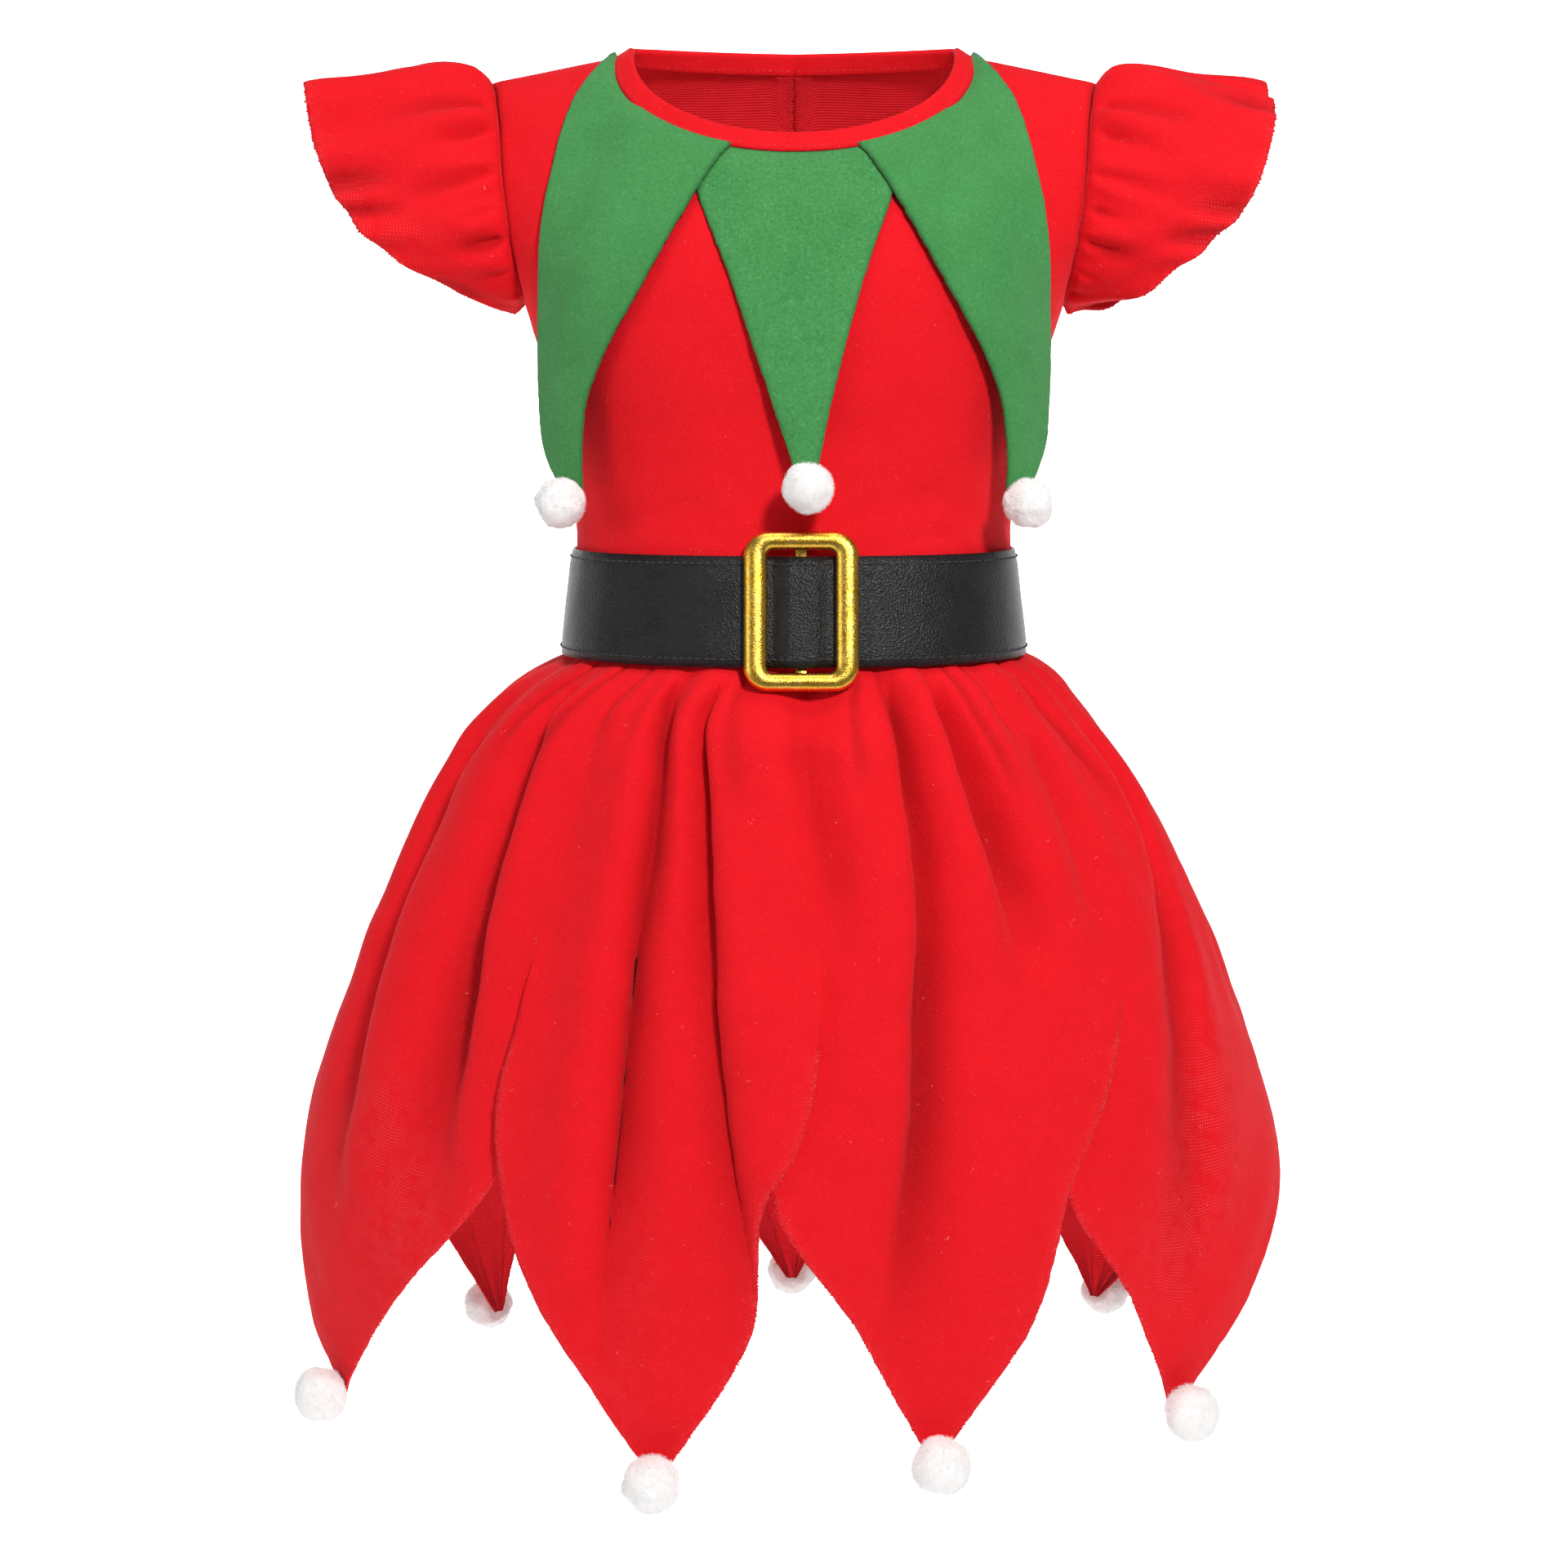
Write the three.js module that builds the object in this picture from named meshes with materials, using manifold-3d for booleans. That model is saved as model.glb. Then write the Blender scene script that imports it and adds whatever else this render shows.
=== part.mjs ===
// A child's elf costume dress, worn but with no wearer: fitted bodice, three felt collar points,
// flutter sleeves, a belt with a slide buckle, and a gathered skirt of seven leaf-shaped petals.
// Millimetres. The origin lies between the shoulder seams, where the wearer's shoulders carry the dress.
// +X is to the right as seen from the front, +Y is towards the back and +Z is up.
import * as THREE from "three";
import { mergeVertices } from "three/addons/utils/BufferGeometryUtils.js";
import Module from "manifold-3d";

// Driving sizes
const CLOTH = 1.5; // thickness of the brushed knit and of the felt
const SEAM = 0.3; // clearance between sewn pieces
const WAIST_DOWN = 225; // waist seam below the shoulders
const UNDERARM_DOWN = 94.5;
const SHOULDER_TIP_DOWN = 2;
const SHOULDER_PEAK = 21.5; // height of the shoulder line carried on to the centre line
const SHOULDER_SLOPE = 0.185;
const SHOULDER_ROUND = 90; // how far down the rounding of the shoulders reaches
const SQUARENESS = 2.3; // exponent of the torso's section, 2 being an ellipse
const SHOULDER_TURN = 15.3; // degrees from the side seam to the shoulder tip, round the torso
const ARM_SCOOP = 21; // further degrees that the armhole is cut in at its middle
const NECK_HALF_WIDTH = 73.6;
const NECK_FRONT_DOWN = 34.7;
const NECK_BACK_DOWN = -6;
const BINDING_WIDTH = 7.6;
const BINDING_THICK = 3.2;
const SLEEVE_GATHERS = 13; // small waves where a sleeve is sewn on
const SLEEVE_GATHER_DEPTH = 1.4;
const SLEEVE_WAVES = 5; // broad waves of a sleeve towards its hem
const SLEEVE_WAVE_DEPTH = 4;
const SLEEVE_PUFF = 8;
const BELT_THICK = 2;
const BELT_OVERLAP_DEG = 24; // how far the strap's ends overlap at the centre back
const BUCKLE = { across: 2.7, width: 46.4, height: 64.3, openWidth: 27.3, openHeight: 49.4, thick: 5 };
const BAR = { width: 4.5, thick: 1.5, reach: 28.4, foot: 3 };
const STRAP_RISE = 2.6; // how far the strap stands out over the buckle's bar
const COLLAR_BALL = 10.8; // radius
const HEM_BALL = 12.5;
const BALL_SEAT = 0.72; // depth of a ball's flat seat below its centre, as a share of its radius

const RED = 0xe81420;
const GREEN = 0x3f8f4a;
const BLACK = 0x17171a;
const GOLD = 0xd8a630;
const WHITE = 0xf6f4f0;

// Torso sections: half width, front depth and back depth of the bodice, and the wider form on which
// the collar points hang. Between 0 and 94 the sides are cut away by the armholes.
const TORSO = [
  { down: -25, width: 131, front: 60, back: 60, drapeWidth: 131, drapeFront: 60 },
  { down: 0, width: 131.5, front: 62, back: 61, drapeWidth: 131.5, drapeFront: 62 },
  { down: 15, width: 135, front: 63.5, back: 63, drapeWidth: 135, drapeFront: 63.5 },
  { down: 35, width: 136, front: 66.5, back: 66, drapeWidth: 136, drapeFront: 66.5 },
  { down: 48, width: 134, front: 70.5, back: 69, drapeWidth: 134, drapeFront: 70.5 },
  { down: 62, width: 129.5, front: 75, back: 71.5, drapeWidth: 129.5, drapeFront: 75 },
  { down: 80, width: 121, front: 80, back: 74, drapeWidth: 121.5, drapeFront: 80.2 },
  { down: 94.5, width: 113, front: 82, back: 75, drapeWidth: 116, drapeFront: 82.5 },
  { down: 120, width: 105.5, front: 81, back: 76, drapeWidth: 113, drapeFront: 83.5 },
  { down: 150, width: 97.5, front: 77.5, back: 75, drapeWidth: 112, drapeFront: 83.5 },
  { down: 172, width: 93.4, front: 75.6, back: 75, drapeWidth: 112, drapeFront: 83.5 },
  { down: 188, width: 92, front: 76, back: 76, drapeWidth: 111, drapeFront: 83.5 },
  { down: 196, width: 91.9, front: 77.2, back: 77.2, drapeWidth: 111, drapeFront: 83.5 },
  { down: 225, width: 93.6, front: 82.4, back: 82.4, drapeWidth: 111, drapeFront: 83.5 },
];

// Skirt sections before its folds: half width and half depth of the outer face
const SKIRT = [
  { down: 225, width: 93.6, depth: 82.4 },
  { down: 240.4, width: 96.2, depth: 85.2 },
  { down: 245, width: 104, depth: 89.5 },
  { down: 250, width: 111.8, depth: 93.2 },
  { down: 256, width: 119, depth: 97 },
  { down: 270, width: 131.5, depth: 104 },
  { down: 284, width: 141.5, depth: 109.5 },
  { down: 298, width: 150.3, depth: 114 },
  { down: 327, width: 165.3, depth: 121.5 },
  { down: 355, width: 178.2, depth: 127.5 },
  { down: 384, width: 189.3, depth: 133 },
  { down: 413, width: 199.7, depth: 138 },
  { down: 442, width: 207.7, depth: 141 },
  { down: 471, width: 212.2, depth: 142.5 },
  { down: 501, width: 211.8, depth: 141.5 },
  { down: 530, width: 208, depth: 138.5 },
  { down: 565, width: 202, depth: 133 },
];

// The skirt hangs a little to the left of the bodice, most of all just below the belt
const SKIRT_SHIFT = { top: -4, low: -1.2 };

// Belt sections, outer face
const BELT = [
  { down: 196, width: 94.6, depth: 80 },
  { down: 240, width: 99.8, depth: 88.5 },
];

// Skirt petals. Angles go round the dress from the front centre, positive towards +X, in degrees.
// An edge follows its seam down to the point where the petals part, crosses its neighbour at the
// notch, narrows at the middle and ends at the tip. "over" and "under" say how it laps its neighbour.
const PETALS = [
  {
    columns: 16, tip: -69.4, ball: 551,
    left: { seam: -106, notch: -99, middle: -90, lap: "over" },
    right: { seam: -35, notch: -34.8, middle: -50, lap: "under" },
  },
  {
    columns: 12, tip: -15.2, ball: 557,
    left: { seam: -35, notch: -33.6, middle: -26.8, lap: "over" },
    right: { seam: 3.6, notch: -1.2, middle: -4, lap: "over" },
  },
  {
    columns: 12, tip: 16.3, ball: 550.5,
    left: { seam: 3.6, notch: -1.2, middle: 6.8, lap: "under" },
    right: { seam: 45, notch: 32, middle: 26.4, lap: "over" },
  },
  {
    columns: 16, tip: 50.4, ball: 544.5,
    left: { seam: 45, notch: 31.8, middle: 41.4, lap: "under" },
    right: { seam: 99, notch: 89, middle: 67, lap: "over" },
  },
  {
    columns: 16, tip: 134.4, ball: 552,
    left: { seam: 99, notch: 104, middle: 117, lap: "under" },
    right: { seam: 160, notch: 157, middle: 148, lap: "under" },
  },
  {
    columns: 12, tip: 179.8, ball: 555.5,
    left: { seam: 160, notch: 161, middle: 170, lap: "over" },
    right: { seam: 205, notch: 203, middle: 192, lap: "over" },
  },
  {
    columns: 12, tip: 223.7, ball: 560,
    left: { seam: 205, notch: 206, middle: 215, lap: "under" },
    right: { seam: 254, notch: 250, middle: 236, lap: "under" },
  },
];
const PART_DOWN = 375; // where the petals part
const NOTCH_DOWN = 441;
const MIDDLE_DOWN = 498;
const LAP_LIFT = 2.1; // how far a lapped edge lies out from, or in from, the skirt's form
const LAP_WIDTH = 7; // degrees of a petal beside its edge that lie fully lapped
const LAP_REACH = 12; // further degrees over which it comes back to the form
const UNDER_TUCK = 2.8; // degrees that a hidden edge reaches further under its neighbour
const OVER_SWELL = 1;
const TIP_HALF_ANGLE = 0.7;
const TIP_PAST_BALL = 2.5; // how far the cloth goes on below the middle of its ball
const PETAL_ROWS = [240.4, 245, 252, 262, 280, 305, 335, 365, 388, 412, 441, 470, 500, 528];

// Long folds of the skirt: troughs that run from one angle to another, deepest in between. skew makes
// the side towards larger angles wider and the other one steeper.
const FOLDS = [
  { top: -72, low: -66, from: 258, to: 470, depth: 10, width: 5.2, skew: 0.3 },
  { top: -48, low: -44, from: 245, to: 455, depth: 13, width: 4.8, skew: -0.4 },
  { top: -28, low: -27, from: 238, to: 285, depth: 3.5, width: 3, skew: 0 },
  { top: -23, low: -20, from: 238, to: 470, depth: 13, width: 4.4, skew: 0.45 },
  { top: -16, low: -6.5, from: 240, to: 550, depth: 16, width: 4.8, skew: -0.35 },
  { top: 0.5, low: 4, from: 250, to: 372, depth: 7, width: 3.6, skew: 0.2 },
  { top: 21, low: 13, from: 238, to: 550, depth: 17, width: 5, skew: 0.4 },
  { top: 28, low: 31, from: 240, to: 345, depth: 10, width: 4, skew: 0.3 },
  { top: 49, low: 46, from: 255, to: 372, depth: 7, width: 4.8, skew: 0.2 },
  { top: 73, low: 51, from: 275, to: 520, depth: 11, width: 5.6, skew: -0.3 },
  { top: 90, low: 84, from: 250, to: 430, depth: 5, width: 5.5, skew: 0.2 },
  { top: 112, low: 114, from: 240, to: 500, depth: 11, width: 5.2, skew: -0.3 },
  { top: 127, low: 129, from: 238, to: 420, depth: 8, width: 4.2, skew: 0.3 },
  { top: 143, low: 141, from: 243, to: 540, depth: 15, width: 5, skew: 0.4 },
  { top: 159, low: 160, from: 250, to: 370, depth: 5.5, width: 3.6, skew: -0.2 },
  { top: 174, low: 177, from: 238, to: 535, depth: 15, width: 4.8, skew: 0.4 },
  { top: 190, low: 193, from: 240, to: 450, depth: 11, width: 4.4, skew: -0.4 },
  { top: 206, low: 205, from: 252, to: 370, depth: 5.5, width: 3.8, skew: 0.2 },
  { top: 217, low: 220, from: 238, to: 540, depth: 15, width: 5, skew: 0.4 },
  { top: 236, low: 233, from: 245, to: 455, depth: 10, width: 4.8, skew: -0.3 },
  { top: 262, low: 260, from: 255, to: 480, depth: 6, width: 5.5, skew: 0.2 },
];
const GATHER_COLUMNS = 4; // columns of the grid in one gather at the waist
const GATHER_DEPTH = 1.9;
const BUCKLE_PRESS = { turn: 1.6, width: 14, from: 232, to: 272, depth: 7 };

// Hem of the right sleeve, from the top round the front to the underarm; the back mirrors the front
const SLEEVE_HEM = [
  { angle: 0, out: 201, forward: 0, down: 2 },
  { angle: 30, out: 200.5, forward: 26, down: 10 },
  { angle: 60, out: 194.5, forward: 43, down: 33 },
  { angle: 85, out: 186.5, forward: 49, down: 52 },
  { angle: 105, out: 177.5, forward: 49, down: 64 },
  { angle: 120, out: 167.5, forward: 46, down: 73 },
  { angle: 135, out: 155.5, forward: 40, down: 81.5 },
  { angle: 150, out: 141.5, forward: 31, down: 91 },
  { angle: 165, out: 127, forward: 17, down: 95 },
  { angle: 180, out: 118, forward: 0, down: 98 },
];
const SLEEVE_ROWS = [0.09, 0.24, 0.47, 0.74, 1];

// Troughs of a sleeve, from an angle at its seam to one further out. reach is how far out they fade.
const SLEEVE_FOLDS = [
  { root: 18, tip: 12, reach: 0.5, depth: 2.6, width: 6 },
  { root: 45, tip: 52, reach: 1.2, depth: 5.5, width: 9 },
  { root: 60, tip: 68, reach: 0.45, depth: 2.6, width: 5 },
  { root: 82, tip: 90, reach: 0.75, depth: 4.2, width: 7 },
  { root: 99, tip: 106, reach: 0.4, depth: 2.4, width: 5 },
  { root: 115, tip: 128, reach: 0.7, depth: 4.6, width: 7 },
  { root: 134, tip: 140, reach: 0.4, depth: 2.4, width: 5 },
  { root: 152, tip: 156, reach: 0.55, depth: 3, width: 6 },
  { root: 176, tip: 178, reach: 0.4, depth: 2, width: 6 },
  { root: 201, tip: 205, reach: 0.55, depth: 3, width: 6 },
  { root: 220, tip: 217, reach: 0.4, depth: 2.4, width: 5 },
  { root: 243, tip: 238, reach: 0.7, depth: 4.2, width: 7 },
  { root: 262, tip: 259, reach: 0.4, depth: 2.4, width: 5 },
  { root: 285, tip: 280, reach: 1.1, depth: 5, width: 8.5 },
  { root: 305, tip: 303, reach: 0.4, depth: 2.4, width: 5 },
  { root: 331, tip: 338, reach: 0.8, depth: 3.6, width: 7 },
];

// How the two sleeves differ: where their waves fall and how far the hem hangs in and down
const SLEEVES = [
  { word: "left", side: -1, phase: 1.3, in: 0, droop: -1.2 },
  { word: "right", side: 1, phase: 0.4, in: 2.5, droop: 3.5 },
];

// Outlines of the collar points, as seen from the front. Across is measured towards +X.
// The left and right points are drawn as the right one. Each edge starts on the neckline.
const SIDE_POINT = {
  outer: [
    { across: 73.4, down: -7.5 },
    { across: 84, down: 3.5 },
    { across: 92, down: 19 },
    { across: 98, down: 45 },
    { across: 101.5, down: 68 },
    { across: 103, down: 100 },
    { across: 103, down: 118 },
    { across: 102.8, down: 136 },
    { across: 101, down: 153 },
    { across: 93, down: 172 },
  ],
  inner: [
    { across: 22.5, down: 33.5 },
    { across: 38, down: 55.5 },
    { across: 57.5, down: 88 },
    { across: 73.5, down: 114.5 },
    { across: 82, down: 133 },
    { across: 84.5, down: 152 },
    { across: 84.5, down: 172 },
  ],
};
const CENTRE_POINT = {
  edge: [
    { across: 46, down: 24.5 },
    { across: 37, down: 55 },
    { across: 27, down: 83 },
    { across: 17, down: 116 },
    { across: 9, down: 145 },
    { across: 3, down: 169 },
  ],
  lean: 5.2, // how far the tip lies to the right of the centre line
};
const COLLAR_LIFT = 0.7; // felt above the bodice
const RIDGE_LIFT = 1.9; // further lift where the felt bends over the shoulder
const COLLAR_LAP = 2.7; // a side point above the bodice where it covers the centre point
const COLLAR_BALL_DOWN = 175;

// Small tools
const rad = THREE.MathUtils.degToRad;
const lerp = THREE.MathUtils.lerp;
const clamp01 = (t) => THREE.MathUtils.clamp(t, 0, 1);
const smooth = (t) => clamp01(t) ** 2 * (3 - 2 * clamp01(t));
const signedPower = (value, power) => Math.sign(value) * Math.abs(value) ** power;
const wrap = (degrees) => ((((degrees + 180) % 360) + 360) % 360) - 180;
// A trough's depth across it: 1 in the middle, with a low swell on either side
const troughShape = (off) => Math.exp(-(off ** 2)) - 0.4 * Math.exp(-((off / 2.2) ** 2));

// The value of one column of a table between its rows, on a smooth curve through them
function readTable(rows, key, column, place) {
  const last = rows.length - 1;
  let i = 0;
  while (i < last - 1 && place > rows[i + 1][key]) i++;
  const slope = (a, b) => (rows[b][column] - rows[a][column]) / (rows[b][key] - rows[a][key]);
  const span = rows[i + 1][key] - rows[i][key];
  const t = clamp01((place - rows[i][key]) / span);
  const start = slope(Math.max(i - 1, 0), i + 1) * span;
  const end = slope(i, Math.min(i + 2, last)) * span;
  const rise = rows[i + 1][column] - rows[i][column];
  return rows[i][column] + t * (start + t * (3 * rise - 2 * start - end + t * (start + end - 2 * rise)));
}

// The torso's form. turn goes round from the front centre in degrees, fall runs down the cloth from
// the shoulder line in millimetres. It is round over the shoulders and upright below them.
function sectionAt(drape, down, front) {
  const width = readTable(TORSO, "down", drape ? "drapeWidth" : "width", down);
  const depth = readTable(TORSO, "down", front ? (drape ? "drapeFront" : "front") : "back", down);
  return { width, depth };
}

const shoulderHeight = (across) => SHOULDER_PEAK - SHOULDER_SLOPE * Math.abs(across);

function torsoPoint(turn, fall, drape = false) {
  const side = signedPower(Math.sin(rad(turn)), 2 / SQUARENESS);
  const ahead = signedPower(Math.cos(rad(turn)), 2 / SQUARENESS);
  const bend = Math.min(fall / SHOULDER_ROUND, Math.PI / 2);
  const straight = fall - bend * SHOULDER_ROUND;
  let down = fall;
  let section = sectionAt(drape, down, ahead > 0);
  for (let step = 0; step < 8; step++) {
    const top = shoulderHeight(section.width * side);
    down = SHOULDER_ROUND * (1 - Math.cos(bend)) + straight - top;
    section = sectionAt(drape, down, ahead > 0);
  }
  return new THREE.Vector3(section.width * side, -section.depth * ahead * Math.sin(bend), -down);
}

function fallAt(turn, down, drape = false) {
  const width = sectionAt(drape, down, true).width;
  const across = width * signedPower(Math.sin(rad(turn)), 2 / SQUARENESS);
  const depth = Math.max(shoulderHeight(across) + down, 0);
  if (depth < SHOULDER_ROUND) return SHOULDER_ROUND * Math.acos(1 - depth / SHOULDER_ROUND);
  return SHOULDER_ROUND * (Math.PI / 2 - 1) + depth;
}

function turnAt(across, down, drape = false) {
  const share = THREE.MathUtils.clamp(across / sectionAt(drape, down, true).width, -1, 1);
  return THREE.MathUtils.radToDeg(Math.asin(signedPower(share, SQUARENESS / 2)));
}

// Outward direction of a form at one place, from its points on either side
function normalOf(form, turn, fall, turnStep = 0.4, fallStep = 0.8) {
  const along = form(turn, fall + fallStep).sub(form(turn, fall - fallStep));
  const round = form(turn + turnStep, fall).sub(form(turn - turnStep, fall));
  return along.cross(round).normalize();
}

// A wall's two faces at one place: the outer face is lifted off the form, the inner lies under it
function layer(form, turn, fall, lift = 0, thick = CLOTH) {
  const point = form(turn, fall);
  const normal = normalOf(form, turn, fall);
  return {
    outer: point.clone().addScaledVector(normal, lift),
    inner: point.clone().addScaledVector(normal, lift - thick),
    normal,
  };
}

// A closed wall from rows of layers. A ring joins the end of each row to its start.
function wallGeometry(rows, ring = false) {
  const high = rows.length;
  const wide = rows[0].length;
  const positions = [];
  const index = [];
  for (const face of ["outer", "inner"]) {
    for (const row of rows) {
      for (const place of row) positions.push(...place[face].toArray());
    }
  }
  const at = (face, j, i) => face * high * wide + j * wide + (i % wide);
  const quad = (a, b, c, d) => index.push(a, b, c, a, c, d);
  const cells = ring ? wide : wide - 1;
  const apart = (j, i, l, k) => rows[j][i % wide].outer.distanceTo(rows[l][k % wide].outer);
  for (let j = 0; j < high - 1; j++) {
    for (let i = 0; i < cells; i++) {
      const corners = [[j, i], [j + 1, i], [j + 1, i + 1], [j, i + 1]];
      // Each cell is split along its shorter diagonal, the same way on both faces
      if (apart(j + 1, i, j, i + 1) < apart(j, i, j + 1, i + 1)) corners.push(corners.shift());
      quad(...corners.map(([l, k]) => at(0, l, k)));
      quad(...corners.map(([l, k]) => at(1, l, k)).reverse());
    }
  }
  for (let i = 0; i < cells; i++) {
    quad(at(0, 0, i), at(0, 0, i + 1), at(1, 0, i + 1), at(1, 0, i));
    quad(at(0, high - 1, i + 1), at(0, high - 1, i), at(1, high - 1, i), at(1, high - 1, i + 1));
  }
  for (let j = 0; !ring && j < high - 1; j++) {
    quad(at(0, j + 1, 0), at(0, j, 0), at(1, j, 0), at(1, j + 1, 0));
    quad(at(0, j, wide - 1), at(0, j + 1, wide - 1), at(1, j + 1, wide - 1), at(1, j, wide - 1));
  }
  const geometry = new THREE.BufferGeometry();
  geometry.setAttribute("position", new THREE.Float32BufferAttribute(positions, 3));
  geometry.setIndex(index);
  return facingOut(geometry);
}

// Turns a closed geometry's faces round if they face inwards
function facingOut(geometry) {
  const index = geometry.index.array;
  const corner = (k) => new THREE.Vector3().fromBufferAttribute(geometry.attributes.position, index[k]);
  let volume = 0;
  for (let k = 0; k < index.length; k += 3) {
    volume += corner(k).dot(corner(k + 1).cross(corner(k + 2)));
  }
  for (let k = 0; volume < 0 && k < index.length; k += 3) {
    [index[k + 1], index[k + 2]] = [index[k + 2], index[k + 1]];
  }
  geometry.computeVertexNormals();
  return geometry;
}

function addPiece(name, geometry, colour, roughness = 0.9, metalness = 0) {
  const material = new THREE.MeshStandardMaterial({ color: colour, roughness, metalness });
  const mesh = new THREE.Mesh(geometry, material);
  mesh.name = name;
  dress.add(mesh);
  return mesh;
}

// Bodice edges, as places on the torso's form for the +X side. reach goes from 0 to 1 along each.
const SIDE_TURN = 89.955; // keeps half the seam clear of the side line
const sideEdge = (reach) => ({ turn: SIDE_TURN, down: lerp(WAIST_DOWN - SEAM / 2, UNDERARM_DOWN, reach) });

function armEdge(reach) {
  const drop = (UNDERARM_DOWN - SHOULDER_TIP_DOWN) * (1 + Math.cos(Math.PI * reach)) * 0.5;
  const turn = SIDE_TURN - SHOULDER_TURN * reach - ARM_SCOOP * Math.sin(Math.PI * reach);
  return { turn, down: SHOULDER_TIP_DOWN + drop };
}

function neckEdge(reach, centreDown) {
  const angle = (Math.PI / 2) * reach;
  const across = NECK_HALF_WIDTH * Math.cos(angle);
  const start = -shoulderHeight(NECK_HALF_WIDTH);
  const down = start + (centreDown - start) * Math.sin(angle) ** 0.9;
  return { turn: turnAt(across, down), down };
}

// Turn and fall of a place on the front or the back, kept half a seam off the shoulder line
function onPanel(place, back) {
  const turn = back ? 180 - place.turn : place.turn;
  const depth = sectionAt(false, place.down, !back).depth;
  const ahead = Math.abs(Math.cos(rad(turn))) ** (2 / SQUARENESS);
  const ridge = SHOULDER_ROUND * Math.asin(Math.min(SEAM / 2 / (depth * ahead), 1));
  return { turn, fall: Math.max(fallAt(turn, place.down), ridge) };
}

// One half of a bodice panel's edges: side seam and armhole, then shoulder and neckline
const SIDE_ROWS = 5;
const ARM_STOPS = [0, 0.15, 0.3, 0.45, 0.6, 0.73, 0.84, 0.93, 1]; // rows along the armhole
const ARM_ROWS = ARM_STOPS.length - 1;
const SHOULDER_COLUMNS = 2;
const NECK_COLUMNS = 9;
const SCOOP_FADE = 6; // how fast the armhole's curve dies out in the columns beside it

function halfPanel(centreDown, back, centreGap) {
  const rows = SIDE_ROWS + ARM_ROWS;
  const columns = SHOULDER_COLUMNS + NECK_COLUMNS;
  const centreTurn = back ? 180 - centreGap : 0;
  const side = (v) => {
    const row = Math.round(v * rows);
    const place = row <= SIDE_ROWS ? sideEdge(row / SIDE_ROWS) : armEdge(ARM_STOPS[row - SIDE_ROWS]);
    return onPanel(place, back);
  };
  const shoulderTurn = armEdge(1).turn;
  const neckTurn = neckEdge(0, centreDown).turn;
  const top = (u) => {
    const share = SHOULDER_COLUMNS / columns;
    if (u > share) return onPanel(neckEdge((u - share) / (1 - share), centreDown), back);
    const turn = lerp(shoulderTurn, neckTurn, u / share);
    const down = -shoulderHeight(torsoPoint(turn, 0).x);
    return onPanel({ turn, down }, back);
  };
  const waist = (u) => {
    const turn = lerp(SIDE_TURN, 0, u);
    return onPanel({ turn, down: WAIST_DOWN - SEAM / 2 }, back);
  };
  const places = [];
  for (let j = 0; j <= rows; j++) {
    const v = j / rows;
    const row = [];
    for (let i = 0; i <= columns; i++) {
      const u = i / columns;
      const blend = (key) => {
        const scoop = side(v)[key] - lerp(waist(0)[key], top(0)[key], v);
        return lerp(waist(u)[key], top(u)[key], v) + scoop * (1 - u) ** SCOOP_FADE;
      };
      const turn = blend("turn");
      row.push({ turn: back ? Math.min(turn, centreTurn) : turn, fall: blend("fall") });
    }
    places.push(row);
  }
  return places;
}

// Half panels run from the side to the centre; the front joins two of them into one grid
const panelLayers = (places, mirror = 1) =>
  places.map((row) => row.map((p) => layer(torsoPoint, mirror * p.turn, p.fall)));

function buildBodice() {
  const front = halfPanel(NECK_FRONT_DOWN, false, 0);
  const left = panelLayers(front, -1);
  const right = panelLayers(front, 1);
  const rows = left.map((row, j) => [...row, ...right[j].slice(0, -1).reverse()]);
  addPiece("bodice_front", wallGeometry(rows), RED);
  const back = halfPanel(NECK_BACK_DOWN, true, turnAt(SEAM / 2, WAIST_DOWN));
  addPiece("bodice_back_left", wallGeometry(panelLayers(back, -1)), RED);
  addPiece("bodice_back_right", wallGeometry(panelLayers(back, 1)), RED);
}

// The neckline as one loop from the centre back, round the -X side, the front and the +X side.
// place runs from -1 to 1, with 0 at the front centre.
function neckPlace(place) {
  const reach = Math.abs(place);
  const back = reach > 0.5;
  const edge = back ? neckEdge((reach - 0.5) * 2, NECK_BACK_DOWN) : neckEdge(1 - reach * 2, NECK_FRONT_DOWN);
  const spot = back ? 180 - edge.turn : edge.turn;
  return { turn: Math.sign(place) * spot, fall: fallAt(spot, edge.down) };
}

// The band is rounded on both faces and stands up a little at the sides and more at the back
const BINDING_SECTION = [
  { along: 0, rise: -0.3 },
  { along: 0.12, rise: -0.5 },
  { along: 0.88, rise: -0.5 },
  { along: 1, rise: -0.2 },
  { along: 1, rise: 0.2 },
  { along: 0.88, rise: 0.5 },
  { along: 0.12, rise: 0.5 },
  { along: 0, rise: 0.3 },
];

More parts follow.
